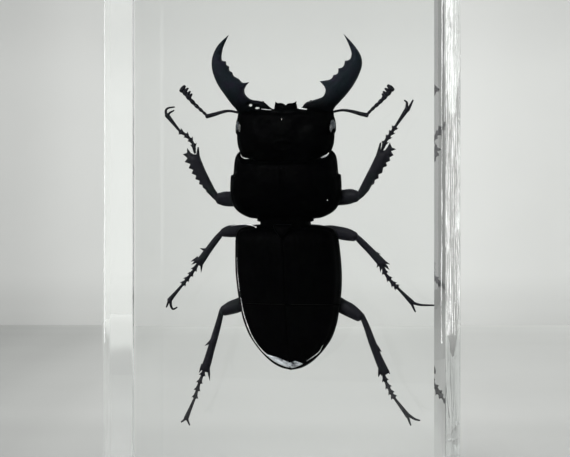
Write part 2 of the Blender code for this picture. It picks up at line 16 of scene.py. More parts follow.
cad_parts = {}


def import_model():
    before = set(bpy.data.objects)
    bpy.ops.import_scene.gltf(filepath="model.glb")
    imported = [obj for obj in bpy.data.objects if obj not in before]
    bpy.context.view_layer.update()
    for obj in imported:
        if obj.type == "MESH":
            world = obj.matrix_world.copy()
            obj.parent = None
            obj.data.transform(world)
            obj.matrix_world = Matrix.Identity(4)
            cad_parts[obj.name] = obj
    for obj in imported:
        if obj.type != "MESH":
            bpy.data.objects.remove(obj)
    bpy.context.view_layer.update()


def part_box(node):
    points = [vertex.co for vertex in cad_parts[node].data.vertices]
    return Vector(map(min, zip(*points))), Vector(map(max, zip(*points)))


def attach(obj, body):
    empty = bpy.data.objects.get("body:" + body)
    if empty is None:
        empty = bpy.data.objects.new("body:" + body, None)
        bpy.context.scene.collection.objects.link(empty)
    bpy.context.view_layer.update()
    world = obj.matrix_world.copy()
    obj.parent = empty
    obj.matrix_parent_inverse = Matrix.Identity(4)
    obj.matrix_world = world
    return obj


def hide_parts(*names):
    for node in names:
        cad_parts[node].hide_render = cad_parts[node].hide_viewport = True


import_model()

MM = 0.001

# The block. Its front edges were eased by hand: distances from the corner along the front and the side.
BLOCK_LOW = Vector(map(min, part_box("resin_front")[0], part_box("resin_back")[0])) / MM
BLOCK_HIGH = Vector(map(max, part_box("resin_front")[1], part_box("resin_back")[1])) / MM
BLOCK_SIZE = BLOCK_HIGH - BLOCK_LOW
FRONT_LEFT_EASE = [(0, 1), (0.3, 0.55), (0.8, 0.25), (1.8, 0)]
FRONT_RIGHT_EASE = [(1.4, 0), (0.93, 1.3), (0.5, 2.75), (0.16, 4.3), (0, 5.2)]
BACK_CORNERS = ((1, 0, 0.6), (-1, 90, 0.4))  # side, first angle in degrees and radius
SHARPEST_CORNER = 0.08
CORNER_STEPS = 10
RIGHT_WAVE = 0.07  # the right side was polished by hand and waves by this much
RIM_RADIUS = 0.8
RIM_STEPS = 5
RINGS = 160
PLAN_PITCH = 0.9
EDGE_CREASE = 9  # degrees
SIDE_MARKS_START = 31  # polishing marks begin this far from the middle, on the right
SIDE_MARKS_DEPTH = 0.12

# The beetle's place in the block, and the bend of its middle line as (v, u).
WAIST_X = 1.8
WAIST_Z = 56.0
LENGTH_SHARE = 0.98  # the outlines below are drawn a little too long, so v is shortened by this
FOREBODY_SHIFT = -0.42
MIDDLE_LINE = [
    (-28.5, 0.68), (-23, 0.64), (-17.5, 0.42), (-12, 0.25), (-6, -0.02), (-1, -0.3), (0, FOREBODY_SHIFT),
]

# Half outlines of the body's parts, as distance from the middle line and v. Their heights are rows of v, how
# far the back rises and how far the underside falls.
HEAD_OUTLINE = [
    (0, 22.1), (1.6, 22.25), (2.8, 22.3), (4.5, 22.2), (6.5, 22.3), (8.3, 22.45), (9.1, 22.3), (9.4, 21.3),
    (9.5, 20.6), (9.7, 20), (9.83, 19.2), (9.87, 18.4), (9.82, 17.75), (9.6, 17.3), (9.57, 16.6),
    (9.47, 15.6), (9.32, 14.9), (9.1, 14.3), (8.85, 13.6), (8.3, 13), (7.4, 12.7), (6.5, 12.5), (6.2, 11.4),
    (5.2, 10.4), (0, 10),
]
HEAD_HEIGHTS = [
    (22.6, 1.6, 1.4), (21.4, 2.3, 2), (19, 3, 2.6), (17, 3.4, 3), (14, 3.4, 3.1), (10, 2.7, 2.8),
]
PRONOTUM_OUTLINE = [
    (0, 12.65), (4.5, 12.6), (6.9, 12.65), (7.7, 12.8), (8.35, 13.1), (8.75, 13.6), (8.95, 14.05),
    (9.2, 13.95), (9.7, 13.35), (10, 12.5), (10.15, 11.4), (10.25, 10.2), (10.35, 9.6), (10.75, 9.4),
    (10.86, 8.8), (10.92, 7.6), (10.93, 6.4), (10.83, 5.2), (10.55, 4), (10, 2.95), (9.2, 2.15), (8.1, 1.5),
    (6.9, 1.05), (5.6, 0.85), (5.1, 0.3), (0, -0.2),
]
PRONOTUM_HEIGHTS = [
    (14.2, 2.6, 2.6), (12, 3.8, 3.4), (9.6, 4.35, 3.8), (6.6, 4.6, 4), (3.6, 4.2, 3.9), (1.4, 3.2, 3.4),
    (-0.2, 2.4, 3),
]
WAIST_OUTLINE = [(0, 2.4), (5.1, 2.3), (5.05, 0.6), (4.95, 0), (5.2, -0.6), (5.4, -2.2), (0, -2.4)]
WAIST_HEIGHTS = [(2.4, 2.5, 3.3), (-2.4, 2.5, 3.3)]
ELYTRA_OUTLINE = [
    (0, -0.1), (5, -0.2), (7.2, -0.4), (8.9, -0.85), (9.75, -1.7), (10.1, -3), (10.25, -4.6), (10.35, -6.2),
    (10.42, -8.2), (10.42, -10), (10.3, -12), (10.1, -14), (9.55, -17.4), (9.13, -19.3), (8.25, -21.7),
    (7.15, -23.5), (5.8, -25.2), (3.95, -26.95), (2, -28.05), (0, -28.5),
]
ELYTRA_HEIGHTS = [
    (-0.6, 2.6, 1.2), (-2.6, 4.1, 1.5), (-6, 4.7, 1.5), (-10, 5, 1.5), (-15, 4.85, 1.5), (-20, 4.1, 1.4),
    (-24.5, 3, 1.2), (-28.4, 1.4, 0.8),
]
ABDOMEN_OUTLINE = [
    (0, -1.2), (5.2, -1.3), (8.4, -2.2), (9.3, -4), (9.65, -8), (9.6, -11), (9.3, -14), (8.8, -17), (8, -20),
    (7, -22.4), (5.7, -24.5), (4.2, -26.2), (2.4, -27.4), (0, -27.8),
]
ABDOMEN_HEIGHTS = [
    (-1.2, 1.5, 3.4), (-4, 2, 4.2), (-9, 2, 4.3), (-14, 2, 4), (-20, 1.6, 3.2), (-24.5, 1.2, 2.2),
    (-27.8, 0.8, 1),
]
STERNITE_EDGES = [-12.4, -15.2, -18, -20.8, -23.6]
STERNITE_LENGTH = 2.8

# Whole outlines as (u, v), with None after a sharp corner. The mandibles' run from the outer base round the
# tip to the inner lobe.
MANDIBLES = {
    "left": [
        (-9.3, 20.6), (-10.1, 22.2), (-11.1, 23.35), (-12.45, 25.2), (-13.78, 27.2), (-14.62, 29.2),
        (-14.95, 30.9), (-14.8, 32.5), (-14.13, 34.15), (-13.1, 35.45), (-11.3, 36.95), None, (-12, 35.6),
        (-12.55, 34.4), (-12.85, 33.1), (-12.9, 32.4), (-12.8, 31.95), (-12.05, 31.75), None, (-11.95, 31.1),
        (-11.45, 30.75), None, (-11.4, 30), (-10.85, 29.6), None, (-10.6, 28.95), (-10.1, 28.6),
        (-9.5, 28.25), None, (-9.1, 27.75), (-8.6, 27.5), (-7.5, 27.6), None, (-8.2, 26.8), (-8.5, 26.1),
        (-8.35, 25.3), (-7.7, 24.55), (-6.9, 24.15), (-5.5, 23.92), (-4.5, 23.56), (-3.8, 22.95),
        (-3.2, 22.45), (-2.75, 22.25), None, (-3.6, 21.95), (-5.3, 21.4),
    ],
    "right": [
        (8.4, 20.6), (9.05, 22.1), (10, 23.2), (11.3, 24.6), (12.6, 26.2), (13.72, 28.1), (14.45, 30),
        (14.42, 31.65), (13.72, 33.15), (12.6, 34.65), (11, 36.4), None, (11.75, 34.85), (12.25, 33.6),
        (12.5, 32.6), (12.35, 31.75), (12, 31.35), (11.2, 31.2), None, (11.1, 30.6), (10.75, 30),
        (9.9, 29.75), None, (9.9, 29.2), (9.65, 28.7), (8.95, 28.55), None, (8.7, 28), (8.1, 27.65),
        (7.4, 27.55), (6.3, 27.4), None, (7.1, 26.5), (7.4, 25.7), (7.2, 24.9), (6.8, 24.4), (6, 24.1),
        (4.8, 23.76), (3.8, 23.5), (3.25, 23.1), (2.8, 22.5), (2.2, 22.2), None, (3.4, 21.9), (5.2, 21.4),
    ],
}
LABRUM_OUTLINE = [
    (-2.2, 21.2), (-2.2, 22.3), (-2.1, 22.9), (-1.95, 23.7), None, (-1.5, 23.42), (-0.85, 23.42),
    (-0.35, 23.25), (0.1, 22.95), None, (0.5, 23.28), (1.3, 23.35), (1.7, 23.42), (2.2, 23.7), None,
    (2.15, 22.95), (2.35, 22.3), (2.35, 21.2),
]
SCUTELLUM_OUTLINE = [
    (-2.2, -0.2), (-2.1, -0.9), (-1.4, -2), (-0.35, -3.1), (0.7, -2), (1.4, -0.9), (1.5, -0.2),
]
CHIN_OUTLINE = [
    (-2.9, 18.4), (-3.1, 20.2), (-2.2, 21.6), (-0.4, 21.9), (1.4, 21.6), (2.3, 20.2), (2.1, 18.4),
]
# Daylight shows through small gaps where a mandible hinges on the head: centre and half sizes.
HINGE_GAPS = {"left": [((-7.3, 23.09), (0.3, 0.24)), ((-5.95, 22.52), (0.42, 0.17))], "right": []}
MANDIBLE_LIFT = [(20, 0.2), (24, 0.1), (28, -0.25), (32, -0.7), (37, -1.4)]
MANDIBLE_HALF_DEPTH = 1.5
MANDIBLE_HALF_WIDTH = 1.25
JAW_BUMPS = 0.035  # height of the jaws' fine unevenness
GAP_SIDES = 14
JAW_FADE = (22.6, 26.5)  # the jaws' colour fades to black between these levels of v
EYE = ((8.95, 18.9, -0.3), (0.85, 1.25, 1.1))  # centre, with u from the head's middle, and half sizes

# The feelers of the mouth, with u from the head's middle, as runs of (u, v, w, half width). The antennae: the
# scape as such a run, the funicle as one of (u, v, w), and the club's leaves as (base, tip).
FEELERS = [
    [(2.9, 20.3, 2.2, 0.28), (3.9, 21.2, 2.3, 0.34), (4.6, 22.1, 2.2, 0.3)],
    [(4.5, 22, 2.2, 0.2), (4.9, 22.9, 2, 0.32), (4.7, 23.8, 1.9, 0.22)],
    [(1.1, 21.7, 1.9, 0.2), (1.7, 22.4, 1.9, 0.28), (1.8, 23.1, 1.8, 0.18)],
]
ANTENNAE = {
    "left": {
        "scape": [
            (-8.6, 21.4, 0.4, 0.24), (-10.7, 21.95, 0.6, 0.25), (-12, 22.1, 0.7, 0.28),
            (-13.4, 21.85, 0.8, 0.34), (-14.7, 21.5, 0.9, 0.4), (-16.2, 21.15, 0.9, 0.44),
        ],
        "funicle": [
            (-16.2, 21.3, 0.9), (-17.4, 22.4, 0.9), (-18.6, 23.5, 0.9), (-19.9, 24.9, 0.9),
            (-20.9, 26.2, 0.9),
        ],
        "leaves": [
            ((-21.4, 26.3), (-20.75, 27.2)), ((-20.9, 25.9), (-20.1, 26.75)),
            ((-20.3, 25.35), (-19.65, 26.1)), ((-19.9, 24.9), (-19.3, 25.6)),
        ],
    },
    "right": {
        "scape": [
            (7.8, 21.3, 0.4, 0.24), (10.2, 21.75, 0.6, 0.25), (11.5, 21.7, 0.7, 0.28),
            (12.8, 21.4, 0.8, 0.34), (14.1, 21, 0.9, 0.4), (15.25, 20.75, 0.9, 0.44),
        ],
        "funicle": [
            (15.3, 20.9, 0.9), (16.3, 21.95, 0.9), (17.4, 22.9, 0.9), (18.5, 24, 0.9), (19.6, 25.2, 0.9),
        ],
        "leaves": [
            ((20.1, 25.5), (19.3, 26.3)), ((19.7, 25), (18.75, 25.75)), ((19.1, 24.5), (18.4, 25.15)),
            ((18.8, 24.2), (18.2, 24.7)),
        ],
    },
}
FUNICLE_JOINTS = 6
BEAD_SHARE = 0.88  # of each joint's length
BEAD_WIDTH = 0.27
BEAD_GROWTH = 0.04  # from joint to joint
LEAF_WIDTHS = (0.44, 0.3, 0.3, 0.3)

# Legs: the femur as a run of (u, v, w, half width), the tibia as one of (u, v, half width), the tarsus as
# the ends of its joints (u, v, w), teeth as (base, tip) and claws as runs of (u, v). The front tibiae are
# saws, so their whole outline is given as a blade.
LEGS = {
    "front_left": {
        "femur": [
            (-3.6, 5, 3.4, 1.1), (-8, 4.9, 3, 1.45), (-11.2, 4.8, 2.2, 1.5), (-12.8, 4.85, 1.8, 1.45),
            (-13.7, 4.9, 1.5, 1.2),
        ],
        "blade": [
            (-16.2, 6), (-16.5, 6.2), (-16.5, 6.55), (-17.2, 7.1), (-17.25, 7.55), (-17.95, 7.75),
            (-17.85, 8.45), (-18.7, 8.75), (-18.55, 9.45), (-19.45, 9.9), (-19.15, 10.6), (-20.05, 10.95),
            (-19.7, 11.75), (-20.85, 12.2), (-20.3, 12.95), (-21.25, 13.75), (-20.4, 14), (-20.35, 15),
            (-19.6, 14), (-19, 13.7), (-18.5, 13.7), (-18.25, 15.15), (-17.95, 15.1), (-17.8, 13.5),
            (-17.5, 12.55), (-16.65, 10.55), (-15.65, 8.55), (-14.8, 6.9), (-13.9, 5.6), (-13.3, 4.4),
            (-14.3, 4.2), (-15.2, 5),
        ],
        "tarsus": [
            (-18.8, 14, 1.6), (-19.1, 15.7, 1.7), (-19.8, 16.75, 1.8), (-20.7, 17.6, 1.9), (-21.9, 18.3, 2),
            (-24.6, 21.6, 2.1),
        ],
        "claws": [
            [(-24.6, 21.3), (-24.85, 22.4), (-24.4, 23), (-23.1, 23.2)],
            [(-24.5, 21.4), (-24.1, 22), (-23.2, 22.5)],
        ],
    },
    "front_right": {
        "femur": [
            (2.8, 5, 3.4, 1.1), (7.2, 4.9, 3, 1.45), (10.4, 5, 2.2, 1.5), (12, 5.2, 1.8, 1.45),
            (12.9, 5.2, 1.5, 1.2),
        ],
        "blade": [
            (14.5, 5.1), (15.5, 6.2), (16.1, 7.3), (16.55, 7.55), (16.7, 8.3), (17.4, 8.6), (17.4, 9.35),
            (18.1, 9.65), (18.3, 10.65), (19, 10.95), (18.85, 11.6), (19.6, 11.95), (19.5, 12.6),
            (20.25, 13), (19.8, 13.75), (20.75, 14.15), (19.95, 14.5), (19.55, 15.45), (19, 14.5),
            (18.6, 14), (17.98, 13.9), (17.8, 14.2), (17.95, 15.5), (17.6, 15.45), (17.15, 13.9),
            (16.9, 13.1), (16, 11.2), (14.7, 8.65), (13.4, 6.1), (12.6, 4.6), (13.3, 4.2),
        ],
        "tarsus": [
            (18, 13.9, 1.6), (18.6, 15.6, 1.7), (19.3, 16.65, 1.8), (19.9, 17.5, 1.9), (20.45, 18.4, 2),
            (22.8, 21.9, 2.1),
        ],
        "claws": [
            [(22.65, 21.6), (22.7, 22.6), (22.68, 23.1), (22.25, 23.5)],
            [(22.9, 21.6), (23.45, 22.7), (23.85, 23.5)],
        ],
    },
    "middle_left": {
        "femur": [
            (-3.8, -2.2, 3.4, 1), (-8, -1.65, 2.9, 1.25), (-10.6, -1.5, 2.2, 1.25), (-12, -1.6, 1.8, 1.15),
            (-12.9, -1.8, 1.5, 0.9),
        ],
        "tibia": [
            (-13, -1.5, 0.5), (-14.4, -3.1, 0.65), (-16, -5.2, 0.7), (-17.3, -7, 0.8), (-18.1, -8.1, 0.85),
        ],
        "tarsus": [
            (-18, -7.7, 1.6), (-19, -9.25, 1.7), (-19.75, -10.25, 1.8), (-20.6, -11.25, 1.9),
            (-21.3, -12.1, 2), (-24.15, -15.35, 2.3),
        ],
        "teeth": [
            ((-16.5, -5.3), (-17.85, -4.9)), ((-18.2, -7.3), (-19.6, -8.25)), ((-18.4, -7), (-19.7, -7.6)),
            ((-17.45, -7.6), (-17.55, -9.9)),
        ],
        "claws": [
            [(-24.1, -15.1), (-24.4, -15.8), (-24.75, -16.7)],
            [(-23.95, -15.1), (-23.85, -16.4), (-23.4, -17.1), (-22.6, -16.75)],
        ],
    },
    "middle_right": {
        "femur": [
            (3.2, -2.2, 3.4, 1), (7.2, -1.65, 2.9, 1.25), (9.6, -1.85, 2.2, 1.25), (11.4, -2.2, 1.8, 1.2),
            (12.7, -2.55, 1.5, 0.95),
        ],
        "tibia": [
            (12.7, -2.2, 0.5), (14.1, -3.6, 0.65), (15.9, -5.4, 0.7), (17.3, -6.9, 0.8), (18.3, -8, 0.85),
        ],
        "tarsus": [
            (18.1, -8, 1.6), (18.6, -9.6, 1.7), (19.45, -10.8, 1.8), (20.3, -11.8, 1.9), (20.85, -12.3, 2),
            (23.65, -15.2, 2.3),
        ],
        "teeth": [
            ((16.6, -5.7), (17.8, -5.95)), ((18.2, -7.4), (19.6, -7.9)), ((18.4, -7.9), (19.5, -9)),
            ((17.5, -7.6), (17, -8.6)), ((17.8, -7.9), (17.7, -9.5)),
        ],
        "claws": [
            [(23.45, -14.9), (23.8, -15.9), (24.25, -16.9)],
            [(23.5, -15.1), (25.2, -15.6), (28.05, -15.65)],
        ],
    },
    "hind_left": {
        "femur": [
            (-4.6, -12.6, 3.2, 1.2), (-7.4, -14.6, 2.9, 1.35), (-9.7, -15.95, 2.3, 1.4),
            (-11.4, -16.6, 1.9, 1.35), (-12.8, -17.2, 1.5, 1.05),
        ],
        "tibia": [
            (-13.3, -17, 0.5), (-13.9, -19.4, 0.6), (-14.7, -22.2, 0.7), (-15.6, -25.2, 0.75),
            (-16.3, -27.6, 0.85), (-16.9, -29.2, 0.9),
        ],
        "tarsus": [
            (-16.85, -28.8, 1.6), (-17.3, -30.1, 1.7), (-17.9, -31.6, 1.8), (-18.4, -33.1, 1.9),
            (-18.85, -34.6, 2), (-20.7, -38.8, 2.3),
        ],
        "teeth": [
            ((-15.5, -23.3), (-16.85, -24.3)), ((-17.3, -28.3), (-18, -29.7)),
            ((-16.1, -28.6), (-15.75, -31.3)),
        ],
        "claws": [
            [(-20.65, -38.4), (-21.1, -39.1), (-21.7, -39.55)],
            [(-20.6, -38.4), (-20.4, -39.2), (-20, -40.1)],
        ],
    },
    "hind_right": {
        "femur": [
            (4.6, -12.6, 3.2, 1.2), (7.8, -14.6, 2.9, 1.35), (10.2, -16, 2.3, 1.4), (12, -16.9, 1.9, 1.35),
            (13.6, -17.9, 1.5, 1.05),
        ],
        "tibia": [
            (14.1, -17.6, 0.5), (15.1, -19.9, 0.6), (16.1, -22.7, 0.7), (17.1, -25.3, 0.75),
            (18, -27.4, 0.85), (18.7, -28.9, 0.9),
        ],
        "tarsus": [
            (18.2, -28.6, 1.6), (18.65, -30.2, 1.7), (19.25, -31.5, 1.8), (19.8, -32.6, 1.9),
            (20.25, -33.4, 2), (22.9, -36.9, 2.3),
        ],
        "teeth": [((16.9, -23.6), (18, -24.8)), ((18.8, -28), (19.6, -29)), ((17.6, -28.4), (17.3, -29.6))],
        "claws": [
            [(22.75, -36.5), (23, -37.5), (23.4, -38.6)],
            [(22.85, -36.6), (24.1, -37.4), (25.1, -37.65)],
        ],
    },
}
SHAFT_W = 1.6  # the depth of a tibia
BLADE_W = 1.5
TOOTH_WIDTH = 0.42
JOINT_WIDTHS = (0.24, 0.36, 0.48)
LAST_JOINT_WIDTHS = (0.24, 0.36, 0.5)
JOINT_GAP = 0.12
BRISTLES = ((-1, 0.5), (1, 0.35))  # side and reach
CLAW_WIDTH = 0.32
CLAW_TAPER = 0.17
# The roots of the legs on either side: centre, with u from the middle line, and half sizes.
COXAE = [
    ((3.4, 5.2, 3.1), (2.3, 1.5, 1.3)), ((3.6, -2.6, 3.3), (2.2, 1.5, 1.3)),
    ((4.6, -12.2, 3.1), (3.6, 1.4, 1.2)),
]

# Silvery films of air where the resin has shrunk from the beetle, as runs of (u, v, w, half width), or of
# (u, v, half width) where they lie on the wing cases.
SEAM_FILMS = [
    [
        (-9.13, 13.45, -0.7, 0.03), (-8.83, 12.95, -0.9, 0.06), (-8.2, 12.68, -1.1, 0.08),
        (-7.4, 12.6, -1.2, 0.02),
    ],
    [(8.15, 13.75, -0.6, 0.04), (7.9, 13.2, -0.9, 0.14), (7.25, 12.8, -1.1, 0.18), (6.7, 12.62, -1.2, 0.06)],
    [(-4.9, 22.22, -1.3, 0.03), (-4, 22.1, -1.4, 0.06), (-3, 22.02, -1.4, 0.03)],
    [(2.4, 22.2, -1.4, 0.05), (3.1, 22.1, -1.5, 0.14), (3.95, 21.98, -1.5, 0.1)],
    [(-11, -0.5, -0.8, 0.02), (-9, -0.22, -1, 0.06), (-7.2, -0.3, -1.6, 0.09), (-5.9, -0.7, -2, 0.04)],
]
WING_FILMS = [
    [
        (-9.72, -6.6, 0.015), (-9.6, -8.5, 0.03), (-9.4, -10.5, 0.04), (-9.22, -12.1, 0.05),
        (-9.1, -13.2, 0.03),
    ],
    [
        (-8.85, -14.5, 0.04), (-8.4, -17.1, 0.06), (-7.75, -19.1, 0.08), (-7.1, -20.9, 0.09),
        (-6.3, -22.6, 0.1), (-5.4, -23.9, 0.11), (-4.35, -25.05, 0.13), (-3.45, -25.65, 0.12),
    ],
    [(3.9, -26.6, 0.03), (5.15, -25.75, 0.09), (6.3, -24.8, 0.07), (7.1, -23.45, 0.02)],
]
TIP_FILM = [
    (-4.6, -25.1), (-3.5, -25.5), (-2.5, -25.75), (-1.4, -26), (-0.7, -26.3), (0.35, -26.75), (0.9, -26.9),
    (1.75, -26.6), (2.65, -26.85), (3.2, -27.15), None, (2.6, -27.5), (1.75, -27.85), (1.05, -28.05),
    (0.15, -27.9), (-0.7, -27.65), (-2.15, -27), (-3.4, -26.15),
]
# Centres and half sizes.
BUBBLES = [
    ((-0.62, 20.05, -3.3), (0.05, 0.17, 0.06)), ((8.3, 4.4, -3.6), (0.1, 0.08, 0.08)),
    ((12.7, 30, -1.6), (0.16, 0.16, 0.12)), ((-5.8, -0.75, -2.6), (0.2, 0.14, 0.1)),
]
# Painted highlights on the eyes: pale lumps in front of them stand in for the glints of light, as centres and
# half sizes.
EYE_GLINTS = [((-9.12, 18.6, -1.95), (0.22, 0.8, 0.3)), ((8.72, 18.2, -1.85), (0.26, 0.75, 0.3))]

# Looks of the cuticle: three drifting tones, roughness, IOR, sheen, pits per metre and their depth in metres.
CHITIN_LOOKS = {
    "black_chitin": (
        (0.0002, 0.0002, 0.0004), (0.0003, 0.0004, 0.0005), (0.0007, 0.0009, 0.0008), 0.42, 1.05, 0.004,
        3600, 3e-5,
    ),
    "jaw_chitin": (
        (0.007, 0.012, 0.014), (0.009, 0.012, 0.016), (0.012, 0.01, 0.018), 0.42, 1.08, 0.012, 2800, 4e-5,
        JAW_FADE,
    ),
    "limb_chitin": (
        (0.008, 0.008, 0.011), (0.01, 0.01, 0.013), (0.009, 0.012, 0.012), 0.42, 1.13, 0.015, 4200, 3e-5,
    ),
    "underside_chitin": (
        (0.006, 0.0055, 0.006), (0.009, 0.008, 0.008), (0.012, 0.009, 0.007), 0.4, 1.25, 0.04, 3000, 4e-5,
    ),
    "eye_chitin": (
        (0.03, 0.035, 0.045), (0.05, 0.055, 0.06), (0.07, 0.07, 0.07), 0.2, 1.35, 0.1, 9000, 2e-5,
    ),
}
# Looks of the films of air, and of the painted highlights on the eyes: dark and light tone, patches per
# metre.
FILM_LOOKS = {
    "painted_eye_glint": ((0.05, 0.055, 0.06), (0.12, 0.12, 0.12), 1300),
    "air_film": ((0.5, 0.5, 0.52), (0.9, 0.9, 0.9), 1300),
    "crumpled_film": ((0.01, 0.013, 0.02), (0.75, 0.78, 0.82), 520),
}
SHEEN_TINT = (0.62, 0.85, 0.84, 1)
RESIN_IOR = 1.5
RESIN_TINT = (0.82, 0.93, 0.89, 1)
RESIN_DENSITY = 3  # light falls by this times one minus the tint, per metre

# The camera and the room.
CAMERA = Vector((64.9, -258, 55))
CAMERA_YAW = math.radians(14.1)
CAMERA_LENS = 86.53
LIGHT_BOUNCES = 24
MIRROR_BOUNCES = 12
FORWARD = Vector((-math.sin(CAMERA_YAW), math.cos(CAMERA_YAW), 0))
ACROSS = Vector((math.cos(CAMERA_YAW), math.sin(CAMERA_YAW), 0))
BACKDROP_DISTANCE = 781
BACKDROP_HEIGHT = 1200
STAGE_HALF_WIDTH = 900
FLOOR_LENGTH = 1700
FLOOR_GAP = 0.05  # the air under the block
CARD_GAP = 0.4  # the dark card's height over the floor
CARD_END = 250  # how far in front of the block it stops
SHEET_PIECES = 6  # faces along each side of a sheet of the stage
WALL_TONE = (0.985, 0.99, 0.975)
FLOOR_TONE = (0.95, 0.956, 0.94)
CARD_TONE = (0.01, 0.01, 0.01)
# How the light falls off on the backdrop and the floor, painted into their tone as painted shading: place and
# share of the full tone. The floor is darkest just behind the block, a painted shadow in place of the one the
# block doesn't cast.
BACKDROP_ACROSS = [
    (-900, 0.2), (-450, 0.36), (-160, 0.62), (-111, 0.72), (0, 0.79), (90, 0.81), (160, 0.73), (215, 0.92),
    (281, 0.95), (900, 0.75),
]
BACKDROP_UP = [
    (0, 0.73), (10, 0.77), (31, 0.855), (100, 0.87), (134, 0.86), (185, 0.765), (400, 0.75), (1200, 0.7),
]
FLOOR_ACROSS = [
    (-900, 0.34), (-158, 0.472), (-111, 0.556), (-77, 0.657), (-50, 0.758), (0, 0.817), (50, 0.807),
    (80, 0.76), (130, 0.724), (157, 0.724), (200, 1), (300, 1), (900, 0.6),
]
FLOOR_AWAY = [
    (-300, 0.58), (50, 0.53), (100, 0.57), (150, 0.64), (300, 0.7), (381, 0.72), (440, 0.745), (480, 0.79),
    (523, 0.86),
]

# The world's brightness along X (left to right) and Y (from behind the camera to the backdrop), as a
# polished face mirrors it, then as the camera sees it and as it lights the scene.
WORLD_ACROSS = [(0, 0.05), (0.12, 0.08), (0.3, 0.16), (0.5, 0.3), (0.85, 0.5), (1, 0.5)]
WORLD_ALONG = [(0, 0.01), (0.12, 0.015), (0.3, 0.25), (0.5, 0.9), (1, 1)]
WORLD_PEAK = 2.4
WORLD_SEEN = (0.72, 0.73, 0.72, 1)
WORLD_LIGHT = (1.2, 1.22, 1.2, 1)
KEY_LIGHT = {"place": (-220, -620, 560), "aim": (10, 20, 40), "width": 240, "power": 3.9}
# Tall, narrow soft boxes beside and behind the block: place, width and how bright each looks.
STRIP_LIGHTS = [((-410, -150), 130, 7), ((-262, 314), 24, 1.4), ((260, 316), 15, 3.6), ((96, 440), 9, 1.5)]
STRIP_HEIGHT = 420


# ---- curves and surfaces

OUTLINE_STEPS = 5  # between two points of a half outline
CURVE_STEPS = 4  # between two points of a whole outline
TABLE_STEPS = 8  # between two rows of heights
ROW_SHARE = 0.866  # rows of even triangles are this share of their pitch apart
RIM_CLEARANCE = 0.55  # share of the pitch between the rim and the nearest inner points
PUFF_ROUNDS = 500
WIDTH_REACH = 0.35  # a part is as wide as its outline is within this distance along it
NARROWEST = 0.5
RELIEF_RISE = 0.5  # a part's own relief begins this far from its rim
TUBE_END_REACH = 0.8  # how far a tube's end bulges out, as a share of its half width
BRISTLE_RADIUS = 0.16
BRISTLE_TIP = 0.025


def place(u, v, w):
    """Body coordinates in millimetres to the block's frame in metres."""
    return Vector((WAIST_X + u, w, WAIST_Z + LENGTH_SHARE * v)) * MM


def middle_line(v):
    """The body's middle line bends at the waist."""
    return np.interp(v, *zip(*MIDDLE_LINE))


def smooth_run(points, steps):
    """A Catmull-Rom curve through a run of points, in any number of dimensions."""
    points = [np.array(point, float) for point in points]
    if len(points) < 3:
        return points
    padded = [2 * points[0] - points[1], *points, 2 * points[-1] - points[-2]]
    run = []
    for a, b, c, d in zip(padded, padded[1:], padded[2:], padded[3:]):
        for t in (step / steps for step in range(steps)):
            square, cube = (2 * a - 5 * b + 4 * c - d) * t**2, (3 * b - a - 3 * c + d) * t**3
            run.append(0.5 * (2 * b + (c - a) * t + square + cube))
    run.append(points[-1])
    return run


def smooth_outline(points):
    """A closed outline that is smooth except at points followed by None, and where it closes."""
    runs = [[]]
    for point in points:
        if point is None:
            runs.append([runs[-1][-1]])
        else:
            runs[-1].append(point)
    outline = [point for run in runs for point in smooth_run(run, CURVE_STEPS)[:-1]]
    return [Vector(point) for point in [*outline, points[-1]]]


def mirrored_outline(half):
    """The whole outline of a body part from its right half, around its middle line."""
    right = smooth_run(half, OUTLINE_STEPS)
    outline = [Vector((middle_line(v) + x, v)) for x, v in right]
    outline += [Vector((middle_line(v) - x, v)) for x, v in reversed(right[1:-1])]
    return outline


def resampled(outline, pitch):
    """The same closed outline with a point at least every pitch."""
    points = []
    for start, end in zip(outline, outline[1:] + outline[:1]):
        pieces = max(1, round((end - start).length / pitch))
        points += [start.lerp(end, piece / pieces) for piece in range(pieces)]
    return points


def distances(points, starts, ends):
    """The distance from each point to the nearest of these segments."""
    nearest = np.full(len(points), 1e9)
    for start, end in zip(starts, ends):
        along = end - start
        share = np.clip((points - start) @ along / max(along @ along, 1e-12), 0, 1)
        gap = np.linalg.norm(points - (start + share[:, None] * along), axis=1)
        nearest = np.minimum(nearest, gap)
    return nearest


def triangulated(outlines, holes, pitch):
    """A fine, even triangulation of the union of closed outlines, less the holes."""
    rims = [resampled(outline, pitch) for outline in [*outlines, *holes]]
    starts = np.array([tuple(point) for rim in rims for point in rim])
    ends = np.array([tuple(point) for rim in rims for point in rim[1:] + rim[:1]])
    (left, low), (right, high) = starts.min(axis=0), starts.max(axis=0)
    rows = np.arange(low, high, pitch * ROW_SHARE)
    columns = np.arange(left, right, pitch)
    grid = np.array([(x + (row % 2) * pitch / 2, y) for row, y in enumerate(rows) for x in columns])
    grid = grid[distances(grid, starts, ends) > RIM_CLEARANCE * pitch]
    firsts = np.cumsum([0, *map(len, rims)])
    faces = [list(range(first, after)) for first, after in zip(firsts, firsts[1:])]
    everything = [Vector(point) for point in [*starts, *grid]]
    points, _, triangles, _, _, origins = delaunay_2d_cdt(everything, [], faces, 1, 1e-6)
    kept = [tri for tri, origin in zip(triangles, origins) if max(origin, default=0) < len(outlines)]
    used, numbers = np.unique(kept, return_inverse=True)
    return np.array([tuple(points[corner]) for corner in used]), numbers.reshape(-1, 3)


def edges_of(triangles):
    return np.concatenate([triangles[:, [0, 1]], triangles[:, [1, 2]], triangles[:, [2, 0]]])


def rim_edges(triangles):
    """The edges that only one triangle uses."""
    keys, counts = np.unique(np.sort(edges_of(triangles), axis=1), axis=0, return_counts=True)
    return keys[counts == 1]


